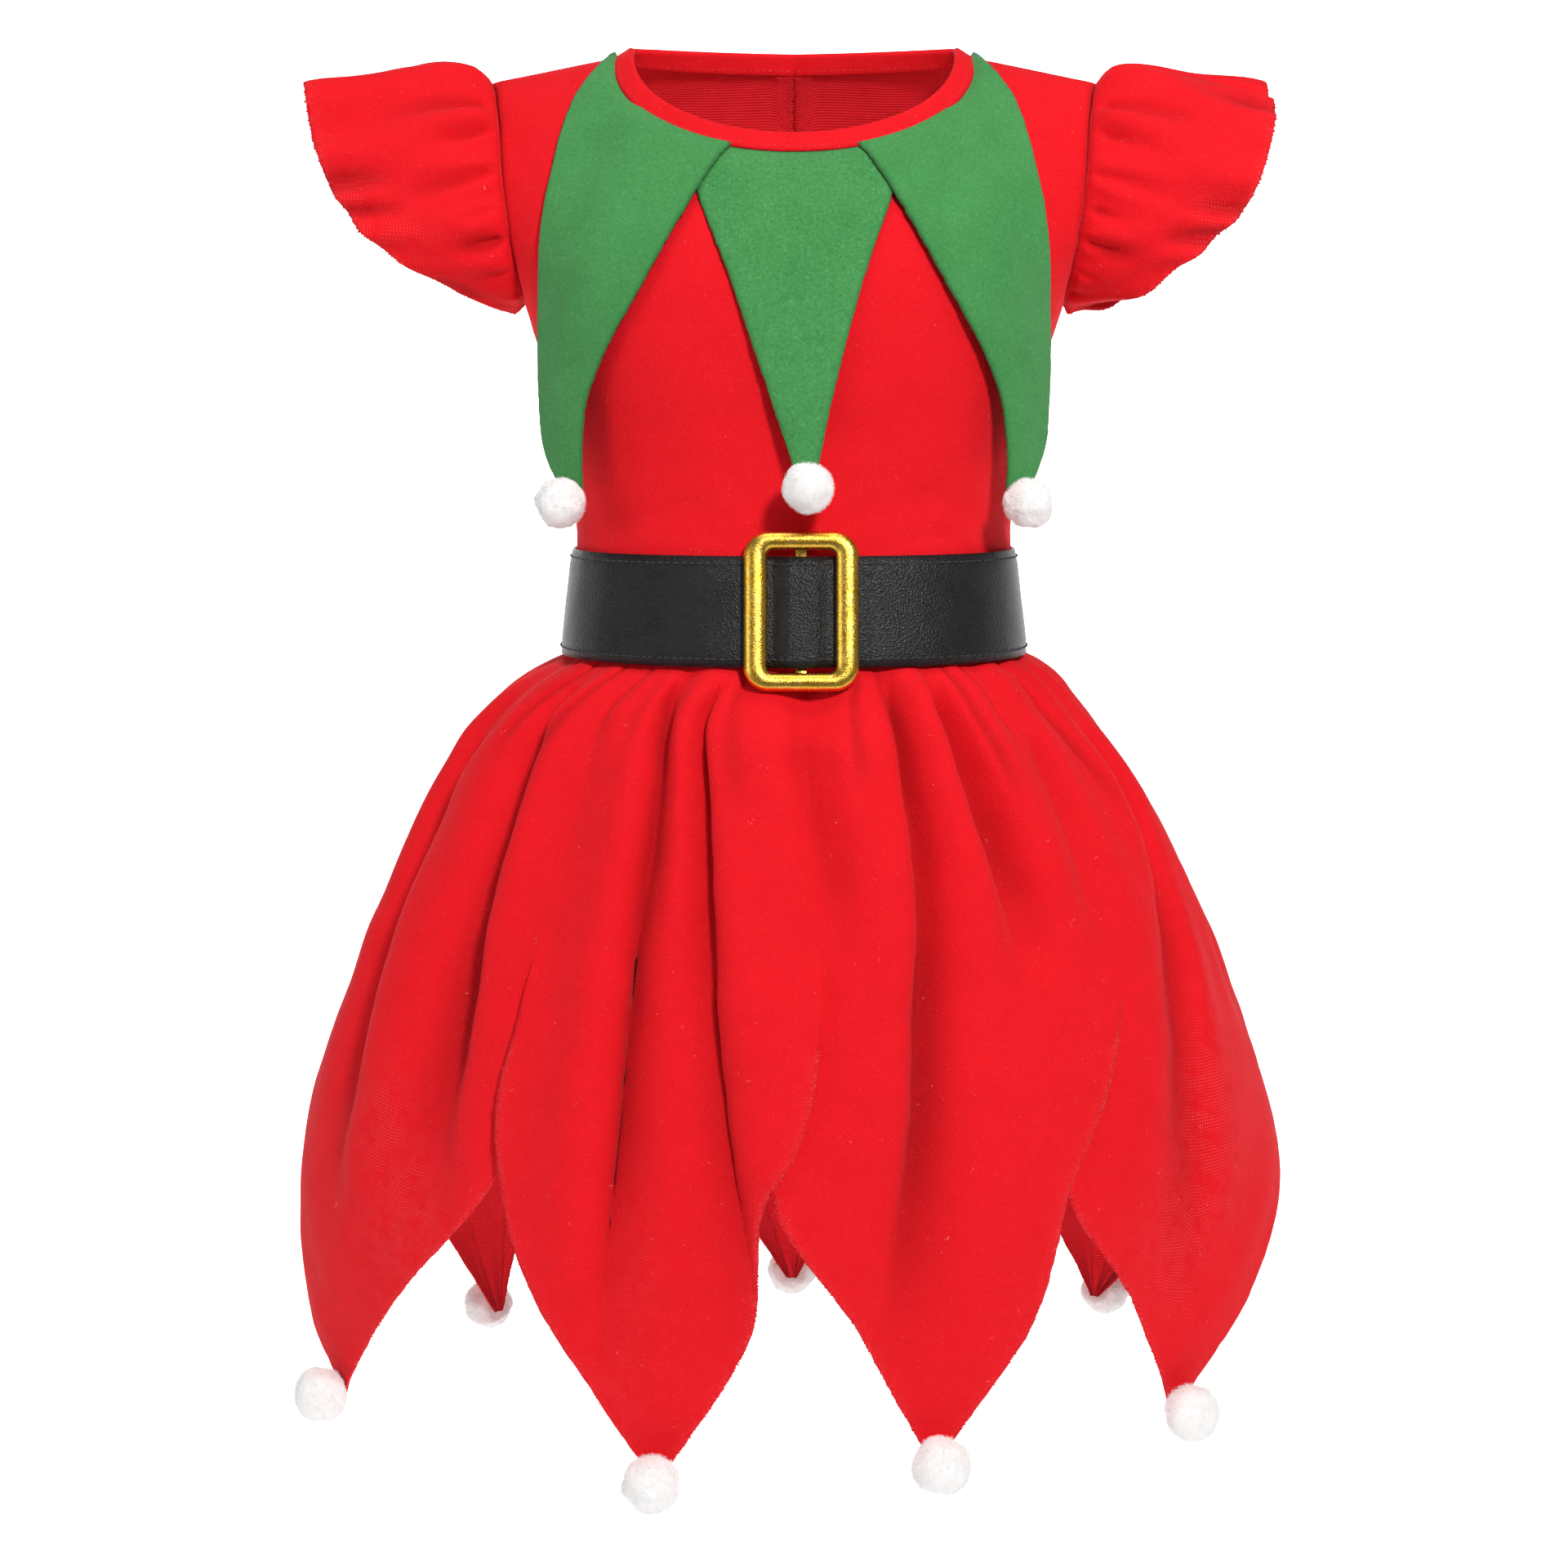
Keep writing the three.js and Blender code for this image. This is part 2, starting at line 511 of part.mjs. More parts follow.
function buildBinding() {
  const stations = [];
  const steps = 4 * NECK_COLUMNS;
  const end = 1 - 0.0012;
  for (let k = 0; k <= steps; k++) {
    const place = THREE.MathUtils.clamp(lerp(-1, 1, k / steps), -end, end);
    const here = neckPlace(place);
    const step = 0.004;
    const before = neckPlace(Math.max(place - step, -1));
    const after = neckPlace(Math.min(place + step, 1));
    const point = torsoPoint(here.turn, here.fall);
    const normal = normalOf(torsoPoint, here.turn, here.fall);
    const tangent = torsoPoint(after.turn, after.fall).sub(torsoPoint(before.turn, before.fall)).normalize();
    const inward = normal.clone().cross(tangent).normalize();
    const round = Math.PI * Math.abs(place);
    const stand = rad(15 * (1 - Math.cos(round)) + 6 * Math.sin(round));
    const across = inward.clone().multiplyScalar(Math.cos(stand)).addScaledVector(normal, Math.sin(stand));
    const outward = normal.clone().multiplyScalar(Math.cos(stand)).addScaledVector(inward, -Math.sin(stand));
    const root = point.addScaledVector(normal, -CLOTH / 2).addScaledVector(inward, SEAM + 0.2);
    stations.push(
      BINDING_SECTION.map(({ along, rise }) =>
        root
          .clone()
          .addScaledVector(across, along * BINDING_WIDTH)
          .addScaledVector(outward, rise * BINDING_THICK),
      ),
    );
  }
  addPiece("neck_binding", tubeGeometry(stations), RED);
}

// A closed bar through sections that each have the same number of points
function tubeGeometry(stations, ring = false) {
  const sides = stations[0].length;
  const positions = stations.flatMap((station) => station.flatMap((point) => point.toArray()));
  const index = [];
  const count = stations.length;
  const at = (k, s) => (k % count) * sides + (s % sides);
  for (let k = 0; k < (ring ? count : count - 1); k++) {
    for (let s = 0; s < sides; s++) {
      index.push(at(k, s), at(k + 1, s), at(k + 1, s + 1), at(k, s), at(k + 1, s + 1), at(k, s + 1));
    }
  }
  for (let s = 1; !ring && s < sides - 1; s++) {
    index.push(at(0, 0), at(0, s), at(0, s + 1));
    index.push(at(count - 1, 0), at(count - 1, s + 1), at(count - 1, s));
  }
  const geometry = new THREE.BufferGeometry();
  geometry.setAttribute("position", new THREE.Float32BufferAttribute(positions, 3));
  geometry.setIndex(index);
  return facingOut(geometry);
}

// Sleeves. angle goes from the shoulder tip round the front of the armhole to the underarm at 180
// and back up behind. side is 1 or -1.
function armholeLayer(angle, side) {
  const back = angle > 180;
  const reach = back ? (angle - 180) / 180 : 1 - angle / 180;
  const cell = Math.max(ARM_STOPS.findIndex((stop) => stop >= reach) - 1, 0);
  const [from, to] = [cell, cell + 1].map((row) => {
    const place = onPanel(armEdge(ARM_STOPS[row]), back);
    return layer(torsoPoint, side * place.turn, place.fall);
  });
  const share = (reach - ARM_STOPS[cell]) / (ARM_STOPS[cell + 1] - ARM_STOPS[cell]);
  for (const key of ["outer", "inner", "normal"]) from[key].lerp(to[key], share);
  return from;
}

function sleeveRoot(angle, side) {
  const here = armholeLayer(angle, side);
  const step = 1.5;
  const tangent = armholeLayer((angle + step) % 360, side)
    .outer.clone()
    .sub(armholeLayer((angle - step + 360) % 360, side).outer);
  const away = tangent.cross(here.normal).normalize();
  const armCentre = new THREE.Vector3(side * 150, 0, -(UNDERARM_DOWN + SHOULDER_TIP_DOWN) / 2);
  if (away.dot(armCentre.sub(here.outer)) < 0) away.negate();
  here.outer.addScaledVector(away, SEAM + 0.1);
  here.inner.addScaledVector(away, SEAM + 0.1);
  return here;
}

// How far a sleeve's surface lies in or out from its plain form
function sleeveSwing(around, reach, { side, phase }) {
  const turned = 2 * rad(around);
  const gather = Math.cos(SLEEVE_GATHERS * rad(around) + phase + 0.8 * Math.sin(turned + 2 * phase));
  const wave = Math.cos(SLEEVE_WAVES * rad(around) + 2 * phase + 0.7 * Math.sin(turned + phase));
  let swing = SLEEVE_GATHER_DEPTH * gather * (1 - smooth((reach - 0.15) / 0.5));
  swing += SLEEVE_WAVE_DEPTH * wave * smooth((reach - 0.25) / 0.75);
  const shift = side > 0 ? 4 * phase - 2 : 0; // the two sleeves' troughs don't lie quite alike
  for (const fold of SLEEVE_FOLDS) {
    const strength = smooth(reach / 0.1) * smooth((fold.reach - reach) / (0.6 * fold.reach));
    const place = lerp(fold.root, fold.tip, clamp01(reach / fold.reach));
    const off = wrap(around + shift - place) / (fold.width * (0.8 + 0.8 * reach));
    swing -= fold.depth * strength * troughShape(off);
  }
  return swing * Math.min(reach / 0.09, 1);
}

function sleevePoint(angle, reach, sleeve) {
  const { side } = sleeve;
  const around = ((angle % 360) + 360) % 360;
  const half = around > 180 ? 360 - around : around;
  const behind = around > 180 ? 1 : -1;
  const hem = new THREE.Vector3(
    side * (readTable(SLEEVE_HEM, "angle", "out", half) - sleeve.in),
    behind * readTable(SLEEVE_HEM, "angle", "forward", half),
    -readTable(SLEEVE_HEM, "angle", "down", half) - sleeve.droop * Math.cos(rad(half / 2)),
  );
  const root = sleeveRoot(around, side).outer;
  const length = hem.distanceTo(root) / 75;
  const radial = new THREE.Vector3(0, -Math.sin(rad(around)), Math.cos(rad(around)));
  const fullness = 0.45 + 0.55 * Math.cos(rad(around / 2)) ** 2;
  const puff = fullness * SLEEVE_PUFF * Math.sin(Math.PI * reach ** 0.55);
  return root.lerp(hem, reach).addScaledVector(radial, length * (puff + sleeveSwing(around, reach, sleeve)));
}

function buildSleeve(sleeve) {
  const { word, side } = sleeve;
  const columns = SLEEVE_GATHERS * 4;
  const angles = Array.from({ length: columns }, (_, i) => (360 * i) / columns);
  const rows = [angles.map((angle) => sleeveRoot(angle, side))];
  for (const reach of SLEEVE_ROWS) {
    rows.push(
      angles.map((angle) => {
        const outer = sleevePoint(angle, reach, sleeve);
        const near = Math.min(reach + 0.03, 1);
        const along = sleevePoint(angle, near, sleeve).sub(sleevePoint(angle, near - 0.06, sleeve));
        const round = sleevePoint(angle + 1.5, reach, sleeve).sub(sleevePoint(angle - 1.5, reach, sleeve));
        const normal = round.cross(along).normalize().multiplyScalar(side);
        return { outer, inner: outer.clone().addScaledVector(normal, -CLOTH) };
      }),
    );
  }
  addPiece("sleeve_" + word, wallGeometry(rows, true), RED);
}

// Collar points hang on the draped form. Their grid runs down from the neckline to the tip.
const drapePoint = (turn, fall) => torsoPoint(turn, fall, true);

function edgePlace(rows, reach, side) {
  const numbered = rows.map((row, i) => ({ ...row, i: i / (rows.length - 1) }));
  const across = side * readTable(numbered, "i", "across", reach);
  const down = readTable(numbered, "i", "down", reach);
  return { across, down };
}

// A column of the panels' neckline, 0 at the neck point and NECK_COLUMNS at the front centre
function necklinePlace(column) {
  const side = column > NECK_COLUMNS ? -1 : 1;
  const reach = 1 - Math.abs(1 - column / NECK_COLUMNS);
  const across = side * NECK_HALF_WIDTH * Math.cos((Math.PI / 2) * reach);
  return { across, down: neckEdge(reach, NECK_FRONT_DOWN).down };
}

// firstColumn and lastColumn are the neckline columns between which the piece is sewn on
function collarRows(outer, inner, rowCount, firstColumn, lastColumn, side, lift) {
  const rows = [];
  const columnCount = lastColumn - firstColumn;
  for (let j = 0; j <= rowCount; j++) {
    const reach = (j / rowCount) ** ROW_CROWDING;
    const from = outer(reach);
    const to = inner(reach);
    const row = [];
    for (let i = 0; i <= columnCount; i++) {
      const share = i / columnCount;
      const top = necklinePlace(firstColumn + i);
      const topStraight = lerp(outer(0).across, inner(0).across, share);
      const downStraight = lerp(outer(0).down, inner(0).down, share);
      const keep = (1 - reach) ** 2;
      const across = lerp(from.across, to.across, share) + (side * top.across - topStraight) * keep;
      const down = lerp(from.down, to.down, share) + (top.down - downStraight) * keep;
      const turn = turnAt(across, down, true);
      const fall = Math.max(fallAt(turn, down, true), 0.6);
      const ridge = RIDGE_LIFT * (1 - smooth(fall / 50));
      row.push(layer(drapePoint, turn, fall, lift(reach, share) + ridge + CLOTH));
    }
    rows.push(row);
  }
  return rows;
}

const ROW_CROWDING = 1.7; // rows of the collar points lie closer together near the neckline
const SIDE_POINT_ROWS = 11;
const SIDE_POINT_END = 7; // neckline columns at which the side points end and the centre one starts
const CENTRE_POINT_ROWS = 9;
const CENTRE_POINT_START = 5;

function buildCollar() {
  const sideLift = (reach, share) => {
    const lap = smooth((share - 0.3) / 0.35) * smooth((0.62 - reach) / 0.2);
    return lerp(COLLAR_LIFT, COLLAR_LAP, lap) + 1.2 * reach;
  };
  for (const [word, side] of [["left", -1], ["right", 1]]) {
    const outer = (reach) => edgePlace(SIDE_POINT.outer, reach, side);
    const inner = (reach) => edgePlace(SIDE_POINT.inner, reach, side);
    const rows = collarRows(outer, inner, SIDE_POINT_ROWS, 0, SIDE_POINT_END, side, sideLift);
    addPiece("collar_" + word, wallGeometry(rows), GREEN);
  }
  const edge = (side) => (reach) => {
    const place = edgePlace(CENTRE_POINT.edge, reach, side);
    place.across += CENTRE_POINT.lean * reach ** 2;
    return place;
  };
  const centreLift = (reach) => COLLAR_LIFT + 1.2 * reach ** 2;
  const end = 2 * NECK_COLUMNS - CENTRE_POINT_START;
  const rows = collarRows(edge(1), edge(-1), CENTRE_POINT_ROWS, CENTRE_POINT_START, end, 1, centreLift);
  addPiece("collar_centre", wallGeometry(rows), GREEN);
}

// The skirt's form with its folds and waist gathers. turn is in degrees, down in millimetres.
function gatherSwing(turn) {
  const first = PETALS[0].left.seam;
  const round = first + ((((turn - first) % 360) + 360) % 360);
  const petal = PETALS.find((p) => round <= p.right.seam) ?? PETALS[0];
  const share = (round - petal.left.seam) / (petal.right.seam - petal.left.seam);
  const evenness = 1 + 0.3 * Math.sin(rad(5 * round) + 1);
  return -Math.cos((2 * Math.PI * share * petal.columns) / GATHER_COLUMNS) * evenness;
}

function foldDepth(turn, down) {
  let depth = 0;
  for (const fold of FOLDS) {
    const reach = clamp01((down - fold.from) / (fold.to - fold.from));
    const fade = 0.45 * (fold.to - fold.from);
    const strength = smooth((down - fold.from) / 26) * smooth((fold.to - down) / fade);
    const turned = wrap(turn - lerp(fold.top, fold.low, smooth(reach * 1.15)));
    const off = turned / (fold.width * (1 + Math.sign(turned) * fold.skew));
    depth += fold.depth * strength * troughShape(off);
  }
  const press = BUCKLE_PRESS;
  const middle = (down - press.from) / (press.to - press.from);
  const pressed = press.depth * Math.sin(Math.PI * clamp01(middle)) ** 2;
  return depth + pressed * Math.exp(-((wrap(turn - press.turn) / press.width) ** 2));
}

function skirtPoint(turn, down) {
  const squareness = lerp(SQUARENESS, 2, smooth((down - WAIST_DOWN) / 70));
  const gather = GATHER_DEPTH * (0.3 + 0.7 * smooth((down - 236) / 14)) * (1 - smooth((down - 262) / 150));
  const out = gather * gatherSwing(turn) - foldDepth(turn, down);
  const width = readTable(SKIRT, "down", "width", down) + out;
  const depth = readTable(SKIRT, "down", "depth", down) + out;
  const lean = lerp(SKIRT_SHIFT.top, SKIRT_SHIFT.low, smooth((down - 260) / 60));
  const shift = lean * smooth((down - 240.4) / 20);
  const x = shift + width * signedPower(Math.sin(rad(turn)), 2 / squareness);
  const y = -depth * signedPower(Math.cos(rad(turn)), 2 / squareness);
  return new THREE.Vector3(x, y, -down);
}

// Angle of one edge of a petal. outward is the sign of turning away from the petal's middle.
function petalEdge(petal, edge, outward, down) {
  const tipDown = petal.ball + TIP_PAST_BALL;
  if (down <= PART_DOWN) return edge.seam;
  const rows = [
    { down: PART_DOWN, turn: edge.seam },
    { down: NOTCH_DOWN, turn: edge.notch },
    { down: MIDDLE_DOWN, turn: edge.middle },
    { down: tipDown, turn: petal.tip + outward * TIP_HALF_ANGLE },
  ];
  const swell = edge.lap === "under" ? UNDER_TUCK : OVER_SWELL;
  const between = clamp01((down - PART_DOWN) / (NOTCH_DOWN - PART_DOWN));
  const bulge = outward * swell * Math.sin(Math.PI * between);
  return readTable(rows, "down", "turn", down) + bulge;
}

function petalLift(petal, turn, down) {
  const parted = LAP_LIFT * smooth((down - PART_DOWN + 32) / 28);
  const near = (edge, outward) => {
    const inside = (petalEdge(petal, edge, outward, down) - turn) * outward;
    const sign = edge.lap === "over" ? 1 : -1;
    return sign * smooth(1 - (inside - LAP_WIDTH) / LAP_REACH);
  };
  return parted * THREE.MathUtils.clamp(near(petal.left, -1) + near(petal.right, 1), -1, 1);
}

// Degrees that half a seam takes up at one place on the skirt
function halfSeamTurn(turn, down) {
  const step = 0.2;
  const arc = skirtPoint(turn + step, down).distanceTo(skirtPoint(turn - step, down)) / (2 * step);
  return SEAM / 2 / arc;
}

function buildPetal(petal, number) {
  const tipDown = petal.ball + TIP_PAST_BALL;
  const downs = [WAIST_DOWN + SEAM / 2, ...PETAL_ROWS, tipDown - 9, tipDown];
  const rows = downs.map((down) => {
    const left = petalEdge(petal, petal.left, -1, down);
    const right = petalEdge(petal, petal.right, 1, down);
    const row = [];
    for (let i = 0; i <= petal.columns; i++) {
      let turn = lerp(left, right, i / petal.columns);
      if (i === 0) turn += halfSeamTurn(turn, down);
      if (i === petal.columns) turn -= halfSeamTurn(turn, down);
      row.push(layer(skirtPoint, turn, down, petalLift(petal, turn, down)));
    }
    return row;
  });
  addPiece("skirt_petal_" + number, wallGeometry(rows), RED);
}

// A ball of fluff with a flat seat that lies against the cloth
function addBall(name, radius, place) {
  const geometry = new THREE.SphereGeometry(radius, 14, 8);
  const position = geometry.attributes.position;
  for (let k = 0; k < position.count; k++) {
    position.setY(k, Math.max(position.getY(k), -BALL_SEAT * radius));
  }
  const mesh = addPiece(name, geometry, WHITE, 1);
  mesh.position.copy(place.outer).addScaledVector(place.normal, BALL_SEAT * radius + SEAM + 0.2);
  mesh.quaternion.setFromUnitVectors(new THREE.Vector3(0, 1, 0), place.normal);
}

function buildBalls() {
  PETALS.forEach((petal, i) => {
    const lift = petalLift(petal, petal.tip, petal.ball);
    addBall("hem_pompom_" + (i + 1), HEM_BALL, layer(skirtPoint, petal.tip, petal.ball, lift));
  });
  const tips = [
    { word: "left", across: -87, down: COLLAR_BALL_DOWN },
    { word: "centre", across: CENTRE_POINT.lean, down: COLLAR_BALL_DOWN - 6.5 },
    { word: "right", across: 87, down: COLLAR_BALL_DOWN },
  ];
  for (const { word, across, down } of tips) {
    const turn = turnAt(across, down, true);
    const place = layer(drapePoint, turn, fallAt(turn, down, true), COLLAR_LIFT + 1.2 + CLOTH);
    addBall("collar_pompom_" + word, COLLAR_BALL, place);
  }
}

// The belt strap, one strip round the waist whose end lies over its start at the centre back
function beltPoint(turn, down, lift = 0) {
  const width = readTable(BELT, "down", "width", down) + lift;
  const depth = readTable(BELT, "down", "depth", down) + lift;
  const x = width * signedPower(Math.sin(rad(turn)), 2 / SQUARENESS);
  const ahead = signedPower(Math.cos(rad(turn)), 2 / SQUARENESS);
  const beside = (Math.abs(x - BUCKLE.across) - 4) / 8;
  const rise = ahead > 0 ? STRAP_RISE * smooth(1 - beside) : 0;
  return new THREE.Vector3(x, -depth * ahead - rise, -down);
}

function buildBelt() {
  const width = (BELT[0].width + BELT[1].width) / 2;
  const barPlaces = [-16, -12, -8, -4, 0, 4, 8, 12, 16].map((x) => {
    const share = (x + BUCKLE.across) / width;
    return THREE.MathUtils.radToDeg(Math.asin(signedPower(share, SQUARENESS / 2)));
  });
  const start = -180 - BELT_OVERLAP_DEG;
  const sideSteps = 30;
  const turns = [];
  for (let k = 0; k < sideSteps; k++) turns.push(lerp(start, barPlaces[0], k / sideSteps));
  turns.push(...barPlaces);
  for (let k = 1; k <= sideSteps; k++) turns.push(lerp(barPlaces.at(-1), 180, k / sideSteps));
  const rows = BELT.map(({ down }) =>
    turns.map((turn) => {
      const over = (BELT_THICK + 2 * SEAM) * smooth((turn - (180 - BELT_OVERLAP_DEG) + 16) / 14);
      const form = (t, d) => beltPoint(t, d, over);
      return layer(form, turn, down, 0, BELT_THICK);
    }),
  );
  addPiece("belt_strap", wallGeometry(rows), BLACK, 0.45);
}

// The buckle, drawn flat with its back at z 0 and its top towards +y, then set on the belt's front
const FRAME_SECTION = [
  { across: 0, rise: 0 },
  { across: 0, rise: 0.45 },
  { across: 0.18, rise: 0.85 },
  { across: 0.5, rise: 1 },
  { across: 0.82, rise: 0.85 },
  { across: 1, rise: 0.45 },
  { across: 1, rise: 0 },
];
const CORNER_STEPS = 4;
const OUTER_CORNER = 10;
const INNER_CORNER = 2.5;

function frameStations() {
  const stations = [];
  const corners = [[1, 1], [-1, 1], [-1, -1], [1, -1]];
  corners.forEach(([sx, sy], quarter) => {
    for (let k = 0; k <= CORNER_STEPS; k++) {
      const angle = (Math.PI / 2) * (quarter + k / CORNER_STEPS);
      const cornerPoint = (width, height, radius) =>
        new THREE.Vector3(
          sx * (width / 2 - radius) + radius * Math.cos(angle),
          sy * (height / 2 - radius) + radius * Math.sin(angle),
          0,
        );
      const outer = cornerPoint(BUCKLE.width, BUCKLE.height, OUTER_CORNER);
      const inner = cornerPoint(BUCKLE.openWidth, BUCKLE.openHeight, INNER_CORNER);
      stations.push(
        FRAME_SECTION.map(({ across, rise }) => {
          const point = outer.clone().lerp(inner, across);
          point.z = rise * BUCKLE.thick;
          return point;
        }),
      );
    }
  });
  return stations;
}

function boxGeometry(width, height, low, high, y = 0) {
  return new THREE.BoxGeometry(width, height, high - low).translate(0, y, (low + high) / 2);
}

const wasm = await Module();
wasm.setup();

function toSolid(geometry) {
  const bare = new THREE.BufferGeometry();
  bare.setAttribute("position", geometry.attributes.position);
  bare.setIndex(geometry.index);
  const merged = mergeVertices(bare, 1e-4);
  const positions = merged.attributes.position.array;
  const triVerts = new Uint32Array(merged.index.array);
  return new wasm.Manifold(new wasm.Mesh({ numProp: 3, vertProperties: positions, triVerts }));
}

function fromSolid(solid) {
  const mesh = solid.getMesh();
  const geometry = new THREE.BufferGeometry();
  geometry.setAttribute("position", new THREE.BufferAttribute(new Float32Array(mesh.vertProperties), 3));
  geometry.setIndex(new THREE.BufferAttribute(new Uint32Array(mesh.triVerts), 1));
  geometry.computeVertexNormals();
  return geometry;
}

function buildBuckle() {
  const back = -(BELT_THICK + SEAM);
  const footMiddle = BAR.reach - BAR.foot / 2;
  const pieces = [
    boxGeometry(BAR.width, 2 * BAR.reach, back, back + BAR.thick),
    boxGeometry(BAR.width, BAR.foot, back, 1, footMiddle),
    boxGeometry(BAR.width, BAR.foot, back, 1, -footMiddle),
  ];
  const frame = toSolid(tubeGeometry(frameStations(), true));
  const solid = pieces.reduce((all, piece) => all.add(toSolid(piece)), frame);
  const mesh = addPiece("belt_buckle", fromSolid(solid), GOLD, 0.28, 1);
  const [top, bottom] = BELT;
  const tilt = Math.atan2(bottom.depth - top.depth, bottom.down - top.down);
  mesh.rotation.x = Math.PI / 2 - tilt;
  mesh.position.set(BUCKLE.across, -(top.depth + bottom.depth) / 2, -(top.down + bottom.down) / 2);
  mesh.position.addScaledVector(new THREE.Vector3(0, -Math.cos(tilt), Math.sin(tilt)), SEAM);
}

const dress = new THREE.Group();
buildBodice();
buildBinding();
buildCollar();
SLEEVES.forEach(buildSleeve);
PETALS.forEach((petal, i) => buildPetal(petal, i + 1));
buildBelt();
buildBuckle();
buildBalls();

export default dress;
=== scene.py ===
import math
from collections import namedtuple

import bmesh
import bpy
import numpy as np
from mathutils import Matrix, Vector


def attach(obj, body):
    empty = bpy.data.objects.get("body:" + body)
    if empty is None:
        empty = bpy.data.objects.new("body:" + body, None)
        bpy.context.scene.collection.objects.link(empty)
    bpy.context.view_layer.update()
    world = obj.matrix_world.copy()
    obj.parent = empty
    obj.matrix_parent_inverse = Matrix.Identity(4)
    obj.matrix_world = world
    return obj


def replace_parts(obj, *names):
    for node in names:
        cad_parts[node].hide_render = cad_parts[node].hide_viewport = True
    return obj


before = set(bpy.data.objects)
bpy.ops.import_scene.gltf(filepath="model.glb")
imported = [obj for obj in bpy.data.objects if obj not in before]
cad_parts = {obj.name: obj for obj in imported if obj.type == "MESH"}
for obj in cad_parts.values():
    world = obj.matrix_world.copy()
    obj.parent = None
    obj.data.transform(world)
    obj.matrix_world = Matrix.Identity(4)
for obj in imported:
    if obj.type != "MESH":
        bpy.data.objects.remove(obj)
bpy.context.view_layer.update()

# The looks of a child's elf costume dress. Forms are worked out in millimetres, from the same sizes
# as the solids, on finer grids, and become metres when a mesh is made.
MM = 0.001

# Driving sizes, as in the solids, whose cloth and felt are 1.5 thick
CLOTH = 1.4
FELT = 1.4
SEAM = 0.3  # the gap between neighbouring pieces
WAIST_DOWN = 225
UNDERARM_DOWN = 94.5
SHOULDER_TIP_DOWN = 2
SHOULDER_PEAK = 21.5
SHOULDER_SLOPE = 0.185
SHOULDER_ROUND = 90
SQUARENESS = 2.3  # 2 makes the torso's sections ellipses
SHOULDER_TURN = 15.3
ARM_SCOOP = 21
NECK_HALF_WIDTH = 73.6
NECK_FRONT_DOWN = 34.7
NECK_BACK_DOWN = -6
BINDING_WIDTH = 7.6
BINDING_THICK = 3.2
SLEEVE_PUFF = 8
BELT_THICK = 2
BELT_OVERLAP_DEG = 24
STRAP_RISE = 2.6
COLLAR_BALL = 10.8
HEM_BALL = 12.5
BALL_SEAT = 0.72  # distance of a pompom's flat seat from its middle, in radii
SKIRT_SHIFT_TOP, SKIRT_SHIFT_LOW = -4, -1.2


def table(names, *rows):
    """Columns by name, from rows of numbers."""
    return {name: np.array(column, float) for name, column in zip(names.split(), zip(*rows))}


TORSO = table(
    "down width front back drape_width drape_front",
    (-25, 131, 60, 60, 131, 60),
    (0, 131.5, 62, 61, 131.5, 62),
    (15, 135, 63.5, 63, 135, 63.5),
    (35, 136, 66.5, 66, 136, 66.5),
    (48, 134, 70.5, 69, 134, 70.5),
    (62, 129.5, 75, 71.5, 129.5, 75),
    (80, 121, 80, 74, 121.5, 80.2),
    (94.5, 113, 82, 75, 116, 82.5),
    (120, 105.5, 81, 76, 113, 83.5),
    (150, 97.5, 77.5, 75, 112, 83.5),
    (172, 93.4, 75.6, 75, 112, 83.5),
    (188, 92, 76, 76, 111, 83.5),
    (196, 91.9, 77.2, 77.2, 111, 83.5),
    (225, 93.6, 82.4, 82.4, 111, 83.5),
)

SKIRT = table(
    "down width depth",
    (225, 93.6, 82.4),
    (240.4, 96.2, 85.2),
    (245, 104, 89.5),
    (250, 111.8, 93.2),
    (256, 119, 97),
    (270, 131.5, 104),
    (284, 141.5, 109.5),
    (298, 150.3, 114),
    (327, 165.3, 121.5),
    (355, 178.2, 127.5),
    (384, 189.3, 133),
    (413, 199.7, 138),
    (442, 207.7, 141),
    (471, 212.2, 142.5),
    (501, 211.8, 141.5),
    (530, 208, 138.5),
    (565, 202, 133),
)

BELT = table("down width depth", (196, 94.6, 80), (240, 99.8, 88.5))

# Petals of the skirt. An edge has its angle at the seam, the notch and the middle; a lap of 1 lies
# over the neighbour and -1 under it.
Petal = namedtuple("Petal", "gathers tip ball left right")
Edge = namedtuple("Edge", "seam notch middle lap")
PETALS = [
    Petal(4, -69.4, 551, Edge(-106, -99, -90, 1), Edge(-35, -34.8, -50, -1)),
    Petal(3, -15.2, 557, Edge(-35, -33.6, -26.8, 1), Edge(3.6, -1.2, -4, 1)),
    Petal(3, 16.3, 550.5, Edge(3.6, -1.2, 6.8, -1), Edge(45, 32, 26.4, 1)),
    Petal(4, 50.4, 544.5, Edge(45, 31.8, 41.4, -1), Edge(99, 89, 67, 1)),
    Petal(4, 134.4, 552, Edge(99, 104, 117, -1), Edge(160, 157, 148, -1)),
    Petal(3, 179.8, 555.5, Edge(160, 161, 170, 1), Edge(205, 203, 192, 1)),
    Petal(3, 223.7, 560, Edge(205, 206, 215, -1), Edge(254, 250, 236, -1)),
]
PART_DOWN = 375
NOTCH_DOWN = 441
MIDDLE_DOWN = 498
LAP_LIFT = 2.1
LAP_WIDTH = 7
LAP_REACH = 12
UNDER_TUCK = 2.8
OVER_SWELL = 1
TIP_HALF_ANGLE = 0.7
TIP_PAST_BALL = 2.5
GATHER_DEPTH = 1.9
BUCKLE_PRESS = {"turn": 1.6, "width": 14, "start": 232, "end": 272, "depth": 7}

